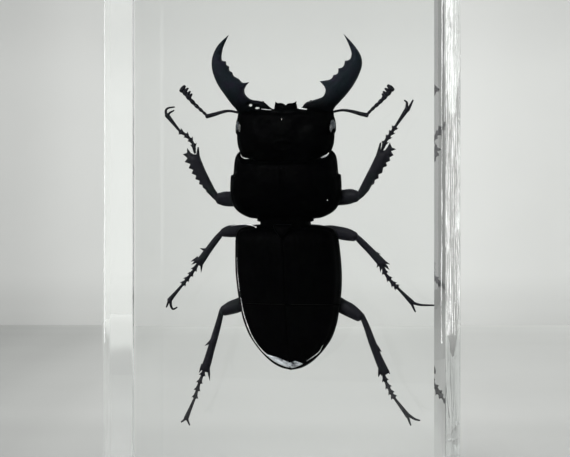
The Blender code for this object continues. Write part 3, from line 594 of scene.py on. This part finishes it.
def puffed(points, triangles, on_rim):
    """Heights like those of a blown-up cushion: nothing at the rim, and elliptical across a limb."""
    edges = edges_of(triangles)
    edges = np.unique(np.concatenate([edges, edges[:, ::-1]]), axis=0)
    count = len(points)
    neighbours = np.bincount(edges[:, 0], minlength=count)
    spacing = np.mean(np.sum((points[edges[:, 0]] - points[edges[:, 1]]) ** 2, axis=1))
    level = np.zeros(count)
    for _ in range(PUFF_ROUNDS):
        level = np.bincount(edges[:, 0], level[edges[:, 1]], count) / neighbours + spacing / 2
        level *= ~on_rim
    return np.sqrt(level)


def scene_object(name, data):
    made = bpy.data.objects.new(name, data)
    bpy.context.scene.collection.objects.link(made)
    return made


def mesh_object(name, shape, look):
    mesh = bpy.data.meshes.new(name)
    shape.to_mesh(mesh)
    shape.free()
    mesh.materials.append(look)
    return scene_object(name, mesh)


def new_piece(name, shape, look, replaced=("stag_beetle",), crease=None):
    """A finished piece of the object from a bmesh: its look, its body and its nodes."""
    bmesh.ops.recalc_face_normals(shape, faces=shape.faces)
    piece = mesh_object(name, shape, look)
    piece.data.shade_smooth()
    if crease:
        piece.data.set_sharp_from_angle(angle=math.radians(crease))
    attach(piece, "root")
    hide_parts(*replaced)
    return piece


def add_plate(shape, outlines, heights, lift=lambda u, v: 0.0, holes=(), pitch=0.25):
    """Adds a closed plate or shell of any outline. heights(u, v, d, puff) gives its back and underside."""
    points, triangles = triangulated(outlines, holes, pitch)
    rim = rim_edges(triangles)
    u, v = points[:, 0], points[:, 1]
    d = distances(points, points[rim[:, 0]], points[rim[:, 1]])
    on_rim = np.zeros(len(points), bool)
    on_rim[rim.ravel()] = True
    back, underside = heights(u, v, d, puffed(points, triangles, on_rim))
    middle = lift(u, v) + np.zeros(len(points))
    upper = [shape.verts.new(place(*spot)) for spot in zip(u, v, middle - np.where(on_rim, 0, back))]
    lower = []
    for number, spot in enumerate(zip(u, v, middle + underside)):
        lower.append(upper[number] if on_rim[number] else shape.verts.new(place(*spot)))
    for a, b, c in triangles:
        shape.faces.new((upper[a], upper[b], upper[c]))
        if not on_rim[[a, b, c]].all():
            shape.faces.new((lower[c], lower[b], lower[a]))


def add_skin(shape, rings):
    """Joins rings of vertices with faces, and closes the first and the last."""
    count = len(rings[0])
    for lower, upper in zip(rings, rings[1:]):
        for i in range(count):
            j = (i + 1) % count
            shape.faces.new((lower[i], lower[j], upper[j], upper[i]))
    for ring in (rings[0], rings[-1]):
        shape.faces.new(ring)


def add_tube(shape, points, sides=14, flatness=1.0, steps=5, cap=4):
    """Adds a limb with rounded ends along a smooth run of (u, v, w, half width)."""
    run = np.array(smooth_run(points, steps))
    spots, widths = run[:, :3], run[:, 3]
    travel = np.gradient(spots, axis=0)
    travel /= np.linalg.norm(travel, axis=1)[:, None]

    def rounded_end(end, sign):
        stations = []
        for angle in (math.pi / 2 * step / cap for step in range(1, cap)):
            spot = spots[end] + sign * travel[end] * widths[end] * math.sin(angle) * TUBE_END_REACH
            stations.append((spot, travel[end], widths[end] * math.cos(angle)))
        return stations

    rings = []
    for spot, heading, width in [*rounded_end(0, -1)[::-1], *zip(spots, travel, widths), *rounded_end(-1, 1)]:
        side = np.array((heading[1], -heading[0], 0.0))
        side /= max(np.linalg.norm(side), 1e-9)
        out = np.cross(heading, side)
        ring = []
        for angle in (2 * math.pi * i / sides for i in range(sides)):
            offset = width * (math.cos(angle) * side + math.sin(angle) * flatness * out)
            ring.append(shape.verts.new(place(*(spot + offset))))
        rings.append(ring)
    add_skin(shape, rings)


def add_bristle(shape, base, tip, w):
    """Adds a straight, pointed bristle between two points in (u, v)."""
    run = []
    for share in (0.0, 0.25, 0.5, 0.75, 1.0):
        run.append((*(base + (tip - base) * share), w, BRISTLE_RADIUS * (1 - share) ** 0.8 + BRISTLE_TIP))
    add_tube(shape, run, sides=6, steps=2, cap=2)


def add_lump(shape, centre, half_sizes, segments=24):
    """Adds a rounded lump, such as an eye or a coxa. Its half sizes are in u, v and w."""
    made = bmesh.ops.create_uvsphere(shape, u_segments=segments, v_segments=segments // 2, radius=1.0)
    for vert in made["verts"]:
        vert.co = place(*(middle + part * half for middle, part, half in zip(centre, vert.co, half_sizes)))


def table(rows):
    """A smooth function of v from rows of (v, a, b)."""
    run = np.array(smooth_run(sorted(rows), TABLE_STEPS))
    return lambda v: (np.interp(v, run[:, 0], run[:, 1]), np.interp(v, run[:, 0], run[:, 2]))


def half_width(half):
    """The half width of a body part at each v, from the right half of its outline."""
    widths, levels = np.array(smooth_run(half, OUTLINE_STEPS)).T

    def widest(v):
        return max(np.max(widths[np.abs(levels - v) < WIDTH_REACH], initial=NARROWEST), NARROWEST)

    return lambda v: np.array([widest(each) for each in v])


def groove(x, centre, width):
    return np.exp(-(((x - centre) / width) ** 2))


def rounded(d, radius):
    """Rises from 0 at the rim to 1 at this distance, as a quarter circle does."""
    share = np.clip(d / radius, 0, 1)
    return np.sqrt(1 - (1 - share) ** 2)


def uneven(u, v, scale):
    """Smooth, irregular relief between -1 and 1, the same on each run."""
    waves = [
        (1.0, 0.31, 0.4), (-0.57, 1.13, 2.1), (0.83, -0.92, 4.0), (1.71, 0.66, 1.2), (-1.37, 1.49, 5.3),
        (0.43, 2.03, 3.1),
    ]
    return sum(np.sin((a * u + b * v) / scale + phase) for a, b, phase in waves) / len(waves)


def cushion(back, underside):
    """Heights of a plate like those of a cushion, times these shares."""
    return lambda u, v, d, puff: (back * puff, underside * puff)


def body_heights(half, rows, squareness, edge, relief):
    """The crown of a body part: a superellipse across it, rounded off at its ends, with its own relief."""
    width, level = half_width(half), table(rows)

    def heights(u, v, d, puff):
        x = u - middle_line(v)
        share = np.clip(np.abs(x) / width(v), 0, 0.999)
        crown = (1 - share**squareness) ** (1 / squareness)
        ends = rounded(d, edge)
        fade = np.clip(d / RELIEF_RISE, 0, 1)
        sides = zip(level(v), relief(x, v, d, share))
        return [height * crown * ends + own * fade for height, own in sides]

    return heights


# ---- materials

def new_material(name):
    made = bpy.data.materials.new(name)
    made.use_nodes = True
    return made, made.node_tree.nodes, made.node_tree.nodes["Principled BSDF"]


def put(socket, value):
    """Gives an input a value, or links it to another node's output."""
    if isinstance(value, bpy.types.NodeSocket):
        socket.id_data.links.new(value, socket)
    else:
        socket.default_value = value


def put_all(target, **values):
    """Sets or links inputs and settings of a node by name, with underscores for spaces."""
    for key, value in values.items():
        socket = target.inputs.get(key.replace("_", " "))
        if socket:
            put(socket, value)
        else:
            setattr(target, key, value)


def node(nodes, kind, output, *inputs, **values):
    """The output of a new node, with its inputs given in order or by name."""
    made = nodes.new(f"ShaderNode{kind}")
    put_all(made, **values)
    for socket, value in zip(made.inputs, inputs):
        put(socket, value)
    return made.outputs[output]


def ramp(nodes, share, stops, interpolation="LINEAR"):
    """A colour ramp with stops at (position, grey or colour)."""
    made = nodes.new("ShaderNodeValToRGB")
    put(made.inputs["Fac"], share)
    made.color_ramp.interpolation = interpolation
    elements = made.color_ramp.elements
    while len(elements) < len(stops):
        elements.new(0.5)
    for element, (position, tone) in zip(elements, stops):
        element.position = position
        element.color = (*(tone if isinstance(tone, tuple) else (tone,) * 3), 1)
    return made.outputs["Color"]


def mixed(nodes, how, first, second, factor=1.0):
    """Two colours mixed by this share."""
    made = nodes.new("ShaderNodeMix")
    made.data_type, made.blend_type = "RGBA", how
    for socket, value in zip((made.inputs["Factor"], *made.inputs[6:8]), (factor, first, second)):
        put(socket, value)
    return made.outputs[2]


def axes(nodes, spot):
    """The X, Y and Z of a place, by name."""
    return node(nodes, "SeparateXYZ", "X", spot).node.outputs


def chitin(name, dark, light, tint, roughness, ior, sheen, pits, pit_depth, fade=None):
    """Insect cuticle: near black with a drifting tint, finely pitted, with a soft glow at grazing angles.

    Its colour can fade to black between two levels of v.
    """
    made, nodes, shader = new_material(name)
    where = node(nodes, "TexCoord", "Object")
    drift = node(nodes, "TexNoise", "Fac", Vector=where, Scale=420, Detail=4, Roughness=0.6)
    speck = node(nodes, "TexNoise", "Fac", Vector=where, Scale=3200, Detail=3, Roughness=0.7)
    pitting = node(nodes, "TexVoronoi", "Distance", Vector=where, Scale=pits, Randomness=0.9)
    hollow = ramp(nodes, pitting, [(0, 0), (0.32, 1)])
    relief = node(nodes, "Bump", "Normal", Height=hollow, Strength=0.9, Distance=pit_depth)
    grain = node(nodes, "Bump", "Normal", Height=speck, Strength=0.5, Distance=pit_depth / 2, Normal=relief)
    gloss = ramp(nodes, speck, [(0.3, roughness - 0.08), (0.7, roughness + 0.1)])
    tones = ramp(nodes, drift, [(0.3, dark), (0.52, light), (0.7, tint)])
    colour = mixed(nodes, "OVERLAY", tones, speck, 0.55)
    if fade:
        low, high = (place(0, v, 0).z for v in fade)
        rise = {"From_Min": low, "From_Max": high, "To_Min": 0.12, "To_Max": 1}
        share = node(nodes, "MapRange", "Result", Value=axes(nodes, where)["Z"], **rise)
        colour = mixed(nodes, "MULTIPLY", colour, share)
    put_all(shader, Base_Color=colour, Roughness=gloss, IOR=ior, Normal=grain)
    put_all(shader, Sheen_Weight=sheen, Sheen_Roughness=0.4, Sheen_Tint=SHEEN_TINT)
    return made


def air_film(name, low, high, patches):
    """A silvery film of air between the beetle and the resin, broken up where the resin touches. The same
    look also paints the highlights on the eyes.
    """
    made, nodes, shader = new_material(name)
    where = node(nodes, "TexCoord", "Object")
    broken = node(nodes, "TexNoise", "Fac", Vector=where, Scale=patches, Detail=3)
    relief = node(nodes, "Bump", "Normal", Height=broken, Strength=0.4, Distance=0.00005)
    tones = ramp(nodes, broken, [(0.38, low), (0.58, high)])
    put_all(shader, Base_Color=tones, Roughness=0.3, Normal=relief)
    return made


def resin_material():
    """Water-clear polished resin, a little green in depth, with streaky polishing marks near its right side.
    """
    made, nodes, shader = new_material("clear_resin")
    where = node(nodes, "TexCoord", "Object")
    stretched = node(nodes, "Mapping", "Vector", Vector=where, Scale=(1, 1, 0.22))
    ripple = node(nodes, "TexNoise", "Fac", Vector=stretched, Scale=420, Detail=2)
    edge = {"From_Min": SIDE_MARKS_START * MM, "From_Max": BLOCK_SIZE.x / 2 * MM}
    near_side = node(nodes, "MapRange", "Result", Value=axes(nodes, where)["X"], **edge)
    marks = node(nodes, "Math", "Value", ripple, near_side, operation="MULTIPLY")
    relief = node(nodes, "Bump", "Normal", Height=marks, Strength=0.5, Distance=SIDE_MARKS_DEPTH * MM)
    depth = node(nodes, "VolumeAbsorption", "Volume", Color=RESIN_TINT, Density=RESIN_DENSITY)
    put_all(shader, Base_Color=(1, 1, 1, 1), Roughness=0, IOR=RESIN_IOR, Transmission_Weight=1, Normal=relief)
    put_all(nodes["Material Output"], Volume=depth)
    return made


# ---- the block

def right_wave(y, z):
    """How far the right side lies inside its flat plane at this place."""
    along = math.sin(z / 4.1 + 0.05 * y) + 0.6 * math.sin(z / 2.3 - 0.12 * y + 1.0)
    across = math.sin(y / 3.0 + z / 9.0)
    return RIGHT_WAVE * (0.5 + 0.2 * along + 0.18 * across)


def block_plan(inset, z):
    """The block's plan at this height, anticlockwise from above, with extra points along its sides."""
    half_x, half_y = BLOCK_SIZE.x / 2 - inset, BLOCK_SIZE.y / 2 - inset
    outline = [Vector((-half_x + x, -half_y + y)) for x, y in smooth_run(FRONT_LEFT_EASE, CURVE_STEPS)]
    outline += [Vector((half_x - x, -half_y + y)) for x, y in smooth_run(FRONT_RIGHT_EASE, CURVE_STEPS)]
    for side, first_angle, radius in BACK_CORNERS:
        radius = max(radius - inset, SHARPEST_CORNER)
        centre = Vector((side * (half_x - radius), half_y - radius))
        for step in range(CORNER_STEPS + 1):
            angle = math.radians(first_angle + 90 * step / CORNER_STEPS)
            outline.append(centre + radius * Vector((math.cos(angle), math.sin(angle))))
    plan = resampled(outline, PLAN_PITCH)
    for point in plan:
        if point.x > half_x - 0.01:
            point.x -= right_wave(point.y, z)
    return plan


def resin_block():
    """The clear block: one casting, ground flat and polished, with eased rims."""
    shape = bmesh.new()
    eases = [math.pi / 2 * step / RIM_STEPS for step in range(RIM_STEPS + 1)]
    rim = [(RIM_RADIUS * (1 - math.sin(ease)), RIM_RADIUS * (1 - math.cos(ease))) for ease in eases]
    height = BLOCK_SIZE.z
    levels = rim[::-1]
    levels += [(z, 0.0) for z in np.linspace(RIM_RADIUS, height - RIM_RADIUS, RINGS)[1:-1]]
    levels += [(height - z, inset) for z, inset in rim]
    plans = [[Vector((*point, z)) * MM for point in block_plan(inset, z)] for z, inset in levels]
    add_skin(shape, [[shape.verts.new(point) for point in plan] for plan in plans])
    halves = ("resin_front", "resin_back")
    hide_from(new_piece("resin_block", shape, resin_material(), halves, EDGE_CREASE), "shadow")


def hide_from(made, *rays):
    for ray in rays:
        setattr(made, f"visible_{ray}", False)


# ---- the body

def head_relief(x, v, d, share):
    """Hollows beside the middle, a ring behind it, and the cheeks' grooves below."""
    back = -0.1 * groove(d, 0.55, 0.3)
    back += -0.35 * groove(np.abs(x), 3.6, 1.6) * groove(v, 18.6, 1.6)
    ring = np.sqrt((x / 1.95) ** 2 + ((v - 15.0) / 0.95) ** 2)
    back += 0.1 * groove(ring, 1.0, 0.14) - 0.12 * groove(ring, 0.0, 0.6)
    back += 0.05 * uneven(x, v, 0.35)
    under = -0.3 * groove(np.abs(x), 3.2, 0.35) * (v > 12.5) - 0.25 * groove(v, 18.2, 0.3) * (np.abs(x) < 3.2)
    return back, under + 0.04 * uneven(x, v, 0.4)


def pronotum_relief(x, v, d, share):
    """A margin, a shallow middle line and two pits above, a cross groove and a keel below."""
    back = -0.12 * groove(d, 0.6, 0.28)
    back += -0.16 * groove(x, 0.0, 0.4) * groove(v, 7.0, 4.0)
    back += -0.25 * groove(np.abs(x), 7.2, 1.0) * groove(v, 6.8, 1.4)
    back += 0.05 * uneven(x, v, 0.3)
    under = -0.3 * groove(v, 8.6, 0.35) + 0.5 * groove(x, 0.0, 1.1) * groove(v, 5.0, 2.6)
    return back, under + 0.05 * uneven(x, v, 0.4)


def waist_relief(x, v, d, share):
    return (0.04 * uneven(x, v, 0.3),) * 2


def wing_relief(x, v, d, share):
    """The suture, the shoulders, a beaded margin and faint rows along the wing cases."""
    behind_scutellum = np.clip((-2.6 - v) / 0.6, 0, 1)
    back = -0.36 * groove(x, 0.0, 0.14) * behind_scutellum
    back += 0.06 * groove(np.abs(x), 0.5, 0.3) * behind_scutellum
    for row in np.linspace(0.14, 0.86, 8):
        back += -0.05 * groove(share, row, 0.013) * np.clip(d - 1.2, 0, 1)
    back += -0.16 * groove(d, 0.62, 0.2)
    back += 0.25 * groove(np.abs(x), 7.6, 1.0) * groove(v, -3.6, 1.3)
    return back + 0.035 * uneven(x, v, 0.25), 0.0


def abdomen_relief(x, v, d, share):
    """The breast plate's grooves, then the stepped sternites."""
    under = -0.35 * groove(x, 0.0, 0.25) * (v > -11.5)
    under += -0.3 * groove(v, -10.4, 0.25) * (np.abs(x) > 2.0)
    for edge in STERNITE_EDGES:
        behind = np.clip((edge - v) / STERNITE_LENGTH, 0, 1) * (v > edge - STERNITE_LENGTH)
        under += 0.26 * behind * (v < edge) - 0.32 * groove(v, edge, 0.16)
    return 0.0, under + 0.05 * uneven(x, v, 0.35)


# Body parts: half outline, heights, squareness, how far the ends round off, relief.
SHELLS = {
    "head": (HEAD_OUTLINE, HEAD_HEIGHTS, 2.6, 1.6, head_relief),
    "pronotum": (PRONOTUM_OUTLINE, PRONOTUM_HEIGHTS, 2.4, 1.8, pronotum_relief),
    "waist": (WAIST_OUTLINE, WAIST_HEIGHTS, 3.0, 0.6, waist_relief),
    "elytra": (ELYTRA_OUTLINE, ELYTRA_HEIGHTS, 2.35, 1.4, wing_relief),
    "abdomen": (ABDOMEN_OUTLINE, ABDOMEN_HEIGHTS, 2.5, 1.6, abdomen_relief),
}


def shell(name, look, pitch=0.25):
    shape = bmesh.new()
    add_plate(shape, [mirrored_outline(SHELLS[name][0])], body_heights(*SHELLS[name]), pitch=pitch)
    new_piece(name, shape, look)


def wing_level(u, v):
    """How deep the back of the wing cases lies at these places."""
    rim = np.array([tuple(point) for point in mirrored_outline(ELYTRA_OUTLINE)])
    d = distances(np.stack([u, v], axis=1), rim, np.roll(rim, -1, axis=0))
    return -body_heights(*SHELLS["elytra"])(u, v, d, None)[0]


def labrum(look):
    shape = bmesh.new()
    outline = [Vector((FOREBODY_SHIFT + point.x, point.y)) for point in smooth_outline(LABRUM_OUTLINE)]
    add_plate(shape, [outline], cushion(0.62, 0.62), pitch=0.12)
    new_piece("labrum", shape, look)


def scutellum(look):
    shape = bmesh.new()
    outline = smooth_outline(SCUTELLUM_OUTLINE)
    add_plate(shape, [outline], cushion(0.55, 0.3), lambda u, v: -3.55 - 0.32 * (-0.2 - v), pitch=0.15)
    new_piece("scutellum", shape, look)


def mouthparts(look):
    """The chin plate with its two pairs of jointed feelers, on the underside of the head."""
    shape = bmesh.new()
    outline = smooth_outline(CHIN_OUTLINE)
    add_plate(shape, [outline], cushion(0.3, 0.4), lambda u, v: 2.55 - 0.25 * (v - 18.4), pitch=0.2)
    for side in (-1, 1):
        for run in FEELERS:
            add_tube(shape, [(FOREBODY_SHIFT + side * u, v, w, r) for u, v, w, r in run], sides=10)
    new_piece("mouthparts", shape, look)


def lumps(name, spots, look, segments=24):
    """A piece made of rounded lumps, by their centres and half sizes."""
    shape = bmesh.new()
    for centre, half_sizes in spots:
        add_lump(shape, centre, half_sizes, segments)
    new_piece(name, shape, look)


def coxae(look):
    """The roots of the legs, set in the underside."""
    spots = []
    for (u, v, w), half_sizes in COXAE:
        spots += [((float(middle_line(v)) + side * u, v, w), half_sizes) for side in (-1, 1)]
    lumps("coxae", spots, look)


def eyes(look):
    (u, v, w), half_sizes = EYE
    for side, name in ((-1, "left"), (1, "right")):
        lumps(f"eye_{name}", [((FOREBODY_SHIFT + side * u, v, w), half_sizes)], look)


def mandible(side, look):
    """One of the big jaws: toothed inside, round outside, rising towards its tip."""
    def lift(u, v):
        return np.interp(v, *zip(*MANDIBLE_LIFT))

    def heights(u, v, d, puff):
        level = MANDIBLE_HALF_DEPTH * puff / MANDIBLE_HALF_WIDTH
        return (level + JAW_BUMPS * uneven(u, v, 0.17) * np.clip(d / 0.4, 0, 1),) * 2

    shape = bmesh.new()
    turns = [2 * math.pi * k / GAP_SIDES for k in range(GAP_SIDES)]
    holes = []
    for (u, v), (half_u, half_v) in HINGE_GAPS[side]:
        holes.append([Vector((u + half_u * math.cos(a), v + half_v * math.sin(a))) for a in turns])
    add_plate(shape, [smooth_outline(MANDIBLES[side])], heights, lift, holes, pitch=0.14)
    new_piece(f"mandible_{side}", shape, look)


def at_share(points, share):
    """The point this share of the way along a run, counted in its points."""
    return np.array([np.interp(share, np.linspace(0, 1, len(points)), column) for column in zip(*points)])


def antenna(side, look):
    """An elbowed feeler: a long scape, a bead for each joint of the funicle, and its leaves."""
    parts = ANTENNAE[side]
    shape = bmesh.new()
    add_tube(shape, parts["scape"], sides=12)
    run = parts["funicle"]
    for joint in range(FUNICLE_JOINTS):
        start, end = (at_share(run, (joint + share) / FUNICLE_JOINTS) for share in (0, BEAD_SHARE))
        width = BEAD_WIDTH + BEAD_GROWTH * joint
        bead = [(*start, width * 0.7), (*(start * 0.4 + end * 0.6), width * 1.1), (*end, width)]
        add_tube(shape, bead, sides=10, steps=3)
    w = run[-1][2]
    for (base, tip), width in zip(parts["leaves"], LEAF_WIDTHS):
        middle = (np.array(base) + np.array(tip)) / 2
        leaf = [(*base, w, width), (*middle, w, width * 1.1), (*tip, w, width * 0.7)]
        add_tube(shape, leaf, sides=12, flatness=1.3, steps=3)
    new_piece(f"antenna_{side}", shape, look)


# ---- the legs

def tibia_outline(points):
    """The flat outline of a tibia's shaft."""
    run = np.array(smooth_run(points, 4))
    middle, half = run[:, :2], run[:, 2:]
    travel = np.gradient(middle, axis=0)
    travel /= np.linalg.norm(travel, axis=1)[:, None]
    side = np.stack([travel[:, 1], -travel[:, 0]], axis=1) * half
    start, end = middle[0] - travel[0] * half[0] * 0.5, middle[-1] + travel[-1] * 0.2
    return [Vector(point) for point in [start, *(middle + side), end, *(middle - side)[::-1]]]


def tooth_outline(base, tip):
    """A curved triangle from inside the shaft to the tip."""
    base, tip = Vector(base), Vector(tip)
    along = tip - base
    side = Vector((-along.y, along.x)).normalized() * TOOTH_WIDTH
    root, waist = base - along * 0.25, base + along * 0.45
    return [root + side, waist + side * 0.65, tip, waist - side * 0.5, root - side]


def tarsus(shape, run):
    """Four short, bristly joints and a long one that swells towards the claws."""
    def add_joint(start, end, waist_share, widths, steps):
        waist = start * (1 - waist_share) + end * waist_share
        stations = [(*spot, width) for spot, width in zip((start, waist, end), widths)]
        add_tube(shape, stations, sides=10, flatness=0.8, steps=steps, cap=3)

    run = [np.array(spot) for spot in run]
    for start, end in zip(run, run[1:-1]):
        along = (end - start) / np.linalg.norm(end - start)
        across = np.array((-along[1], along[0]))
        end = end - along * JOINT_GAP
        add_joint(start, end, 0.6, JOINT_WIDTHS, 3)
        for side, reach in BRISTLES:
            root = end[:2] + across * side * 0.3 - along[:2] * 0.2
            add_bristle(shape, root, root + along[:2] * reach + across * side * 0.36, end[2])
    add_joint(run[-2], run[-1], 0.55, LAST_JOINT_WIDTHS, 4)


def claw(shape, run, w):
    """A stout hook along a run of (u, v)."""
    shares = np.linspace(0, 1, len(run))
    stations = [(*spot, w, CLAW_WIDTH - CLAW_TAPER * share) for spot, share in zip(run, shares)]
    add_tube(shape, stations, sides=10, steps=4, cap=3)


def leg(name, parts, look):
    """Femur, toothed tibia, five tarsal joints and two claws."""
    shape = bmesh.new()
    add_tube(shape, parts["femur"], sides=20, flatness=0.75)
    if "blade" in parts:
        w, outline = BLADE_W, [Vector(point) for point in parts["blade"]]
    else:
        w, outline = SHAFT_W, tibia_outline(parts["tibia"])
    teeth = [tooth_outline(base, tip) for base, tip in parts.get("teeth", [])]
    add_plate(shape, [outline, *teeth], cushion(0.8, 0.8), lambda u, v: w, pitch=0.13)
    tarsus(shape, parts["tarsus"])
    for run in parts["claws"]:
        claw(shape, run, parts["tarsus"][-1][2])
    new_piece(f"leg_{name}", shape, look)


# ---- the films of air

def air_films(look):
    """Thin silvery films of air: in the seams round the head and along the wing cases' margin."""
    shape = bmesh.new()
    for run in SEAM_FILMS:
        add_tube(shape, run, sides=8)
    for run in WING_FILMS:
        u, v, radii = np.array(run).T
        add_tube(shape, list(zip(u, v, wing_level(u, v), radii)), sides=8)
    for centre, half_sizes in BUBBLES:
        add_lump(shape, centre, half_sizes, 10)
    new_piece("air_films", shape, look)


def crescent(look):
    """The crumpled film of air over the tips of the wing cases."""
    def heights(u, v, d, puff):
        return 0.1 * rounded(d, 0.3) + 0.12 * uneven(u, v, 0.2) * np.clip(d / 0.2, 0, 1), -0.02

    shape = bmesh.new()
    add_plate(shape, [smooth_outline(TIP_FILM)], heights, lambda u, v: wing_level(u, v) - 0.03, pitch=0.1)
    new_piece("air_crescent", shape, look)


def beetle():
    looks = {name: chitin(name, *values) for name, values in CHITIN_LOOKS.items()}
    films = {name: air_film(name, *values) for name, values in FILM_LOOKS.items()}
    body, below, limb = looks["black_chitin"], looks["underside_chitin"], looks["limb_chitin"]
    shell("head", body)
    labrum(body)
    shell("pronotum", body)
    shell("waist", body)
    shell("elytra", body, pitch=0.2)
    scutellum(body)
    shell("abdomen", below)
    mouthparts(below)
    coxae(below)
    eyes(looks["eye_chitin"])
    for side in ("left", "right"):
        mandible(side, looks["jaw_chitin"])
        antenna(side, limb)
    for name, parts in LEGS.items():
        leg(name, parts, limb)
    air_films(films["air_film"])
    crescent(films["crumpled_film"])
    # Painted highlights: pale lumps over the eyes stand in for their glints.
    lumps("painted_eye_glints", EYE_GLINTS, films["painted_eye_glint"], 12)


# ---- the room

def stage_sheet(name, corner, along, up, look):
    """A flat sheet of the stage, from one corner along two directions."""
    shape = bmesh.new()
    bmesh.ops.create_grid(shape, x_segments=SHEET_PIECES, y_segments=SHEET_PIECES, size=0.5)
    for vert in shape.verts:
        vert.co = (corner + along * (vert.co.x + 0.5) + up * (vert.co.y + 0.5)) * MM
    made = mesh_object(name, shape, look)
    return made


def card_look(name, colour, *falloffs):
    """Matt card with a faint grain. Its tone falls off along axes that are turned as the camera is, as
    painted shading.
    """
    made, nodes, shader = new_material(name)
    where = node(nodes, "TexCoord", "Object")
    grain = node(nodes, "TexNoise", "Fac", Vector=where, Scale=30, Detail=3)
    result = ramp(nodes, grain, [(0.3, tuple(0.985 * part for part in colour)), (0.7, colour)])
    turned = node(nodes, "Mapping", "Vector", Vector=where, Rotation=(0, 0, -CAMERA_YAW))
    spot = axes(nodes, turned)
    for axis, tones in falloffs:
        low, high = tones[0][0], tones[-1][0]
        edge = {"From_Min": low * MM, "From_Max": high * MM}
        share = node(nodes, "MapRange", "Result", Value=spot[axis], **edge)
        stops = [((at - low) / (high - low), level) for at, level in tones]
        result = mixed(nodes, "MULTIPLY", result, ramp(nodes, share, stops, "EASE"))
    put_all(shader, Base_Color=result, Roughness=1, Specular_IOR_Level=0)
    return made


def room():
    foot = Vector((CAMERA.x, CAMERA.y, -FLOOR_GAP)) + FORWARD * BACKDROP_DISTANCE
    left = foot - ACROSS * STAGE_HALF_WIDTH
    width = ACROSS * 2 * STAGE_HALF_WIDTH
    # The backdrop and the floor carry painted shading, and the floor a painted shadow behind the block.
    wall = card_look("backdrop", WALL_TONE, ("X", BACKDROP_ACROSS), ("Z", BACKDROP_UP))
    stage_sheet("backdrop", left, width, Vector((0, 0, BACKDROP_HEIGHT)), wall)
    table_top = card_look("floor", FLOOR_TONE, ("X", FLOOR_ACROSS), ("Y", FLOOR_AWAY))
    stage_sheet("floor", left - FORWARD * FLOOR_LENGTH, width, FORWARD * FLOOR_LENGTH, table_top)
    # Only reflections see the dark card, which darkens what the polished faces mirror of the table.
    corner = Vector((-STAGE_HALF_WIDTH, -FLOOR_LENGTH, CARD_GAP))
    along, up = Vector((2 * STAGE_HALF_WIDTH, 0, 0)), Vector((0, FLOOR_LENGTH - CARD_END, 0))
    card = stage_sheet("black_card", corner, along, up, card_look("black_card", CARD_TONE))
    hide_from(card, "camera", "diffuse", "transmission", "shadow")


def world():
    """Even, soft studio light. Mirrors see it dark behind the camera and bright to the right and rear."""
    made = bpy.data.worlds.new("studio")
    bpy.context.scene.world = made
    made.use_nodes = True
    nodes = made.node_tree.nodes
    heading = axes(nodes, node(nodes, "TexCoord", "Generated"))

    def along(axis, stops):
        share = node(nodes, "MapRange", "Result", Value=heading[axis], From_Min=-1, From_Max=1)
        return ramp(nodes, share, stops)

    def bounced(kind):
        depth = node(nodes, "LightPath", f"{kind} Depth")
        return node(nodes, "Math", "Value", depth, 0.5, operation="GREATER_THAN")

    mirrored = mixed(nodes, "MULTIPLY", along("X", WORLD_ACROSS), (*(WORLD_PEAK,) * 3, 1))
    mirrored = mixed(nodes, "MULTIPLY", mirrored, along("Y", WORLD_ALONG))
    seen = mixed(nodes, "MIX", WORLD_SEEN, mirrored, bounced("Glossy"))
    put_all(nodes["Background"], Color=mixed(nodes, "MIX", seen, WORLD_LIGHT, bounced("Diffuse")))


def area_light(name, here, aim, size, power):
    """A soft box at a place, turned to another. Its power is in watts."""
    lamp = bpy.data.lights.new(name, "AREA")
    lamp.shape = "RECTANGLE"
    lamp.size, lamp.size_y = (side * MM for side in size)
    lamp.energy = power
    made = scene_object(name, lamp)
    made.location = here * MM
    made.rotation_euler = (aim - here).to_track_quat("-Z", "Y").to_euler()
    return made


def lights():
    """A soft box at the front left, which lights the legs, and strips that only polished edges mirror."""
    key = KEY_LIGHT
    area_light("soft_box", Vector(key["place"]), Vector(key["aim"]), (key["width"],) * 2, key["power"])
    middle = STRIP_HEIGHT / 2
    for number, ((x, y), width, level) in enumerate(STRIP_LIGHTS):
        power = level * math.pi * width * STRIP_HEIGHT * MM**2
        ends = Vector((x, y, middle)), Vector((0, 0, middle))
        strip = area_light(f"strip_{number}", *ends, (width, STRIP_HEIGHT), power)
        hide_from(strip, "camera", "diffuse", "transmission")


def camera():
    lens = bpy.data.cameras.new("camera")
    lens.sensor_width = 36
    lens.lens = CAMERA_LENS
    lens.clip_start = MM
    made = scene_object("camera", lens)
    made.location = CAMERA * MM
    made.rotation_euler = (math.pi / 2, 0, CAMERA_YAW)
    scene = bpy.context.scene
    scene.camera = made
    scene.view_settings.view_transform = "Standard"
    scene.cycles.max_bounces = LIGHT_BOUNCES
    scene.cycles.transmission_bounces = LIGHT_BOUNCES
    scene.cycles.glossy_bounces = MIRROR_BOUNCES


resin_block()
beetle()
room()
world()
lights()
camera()
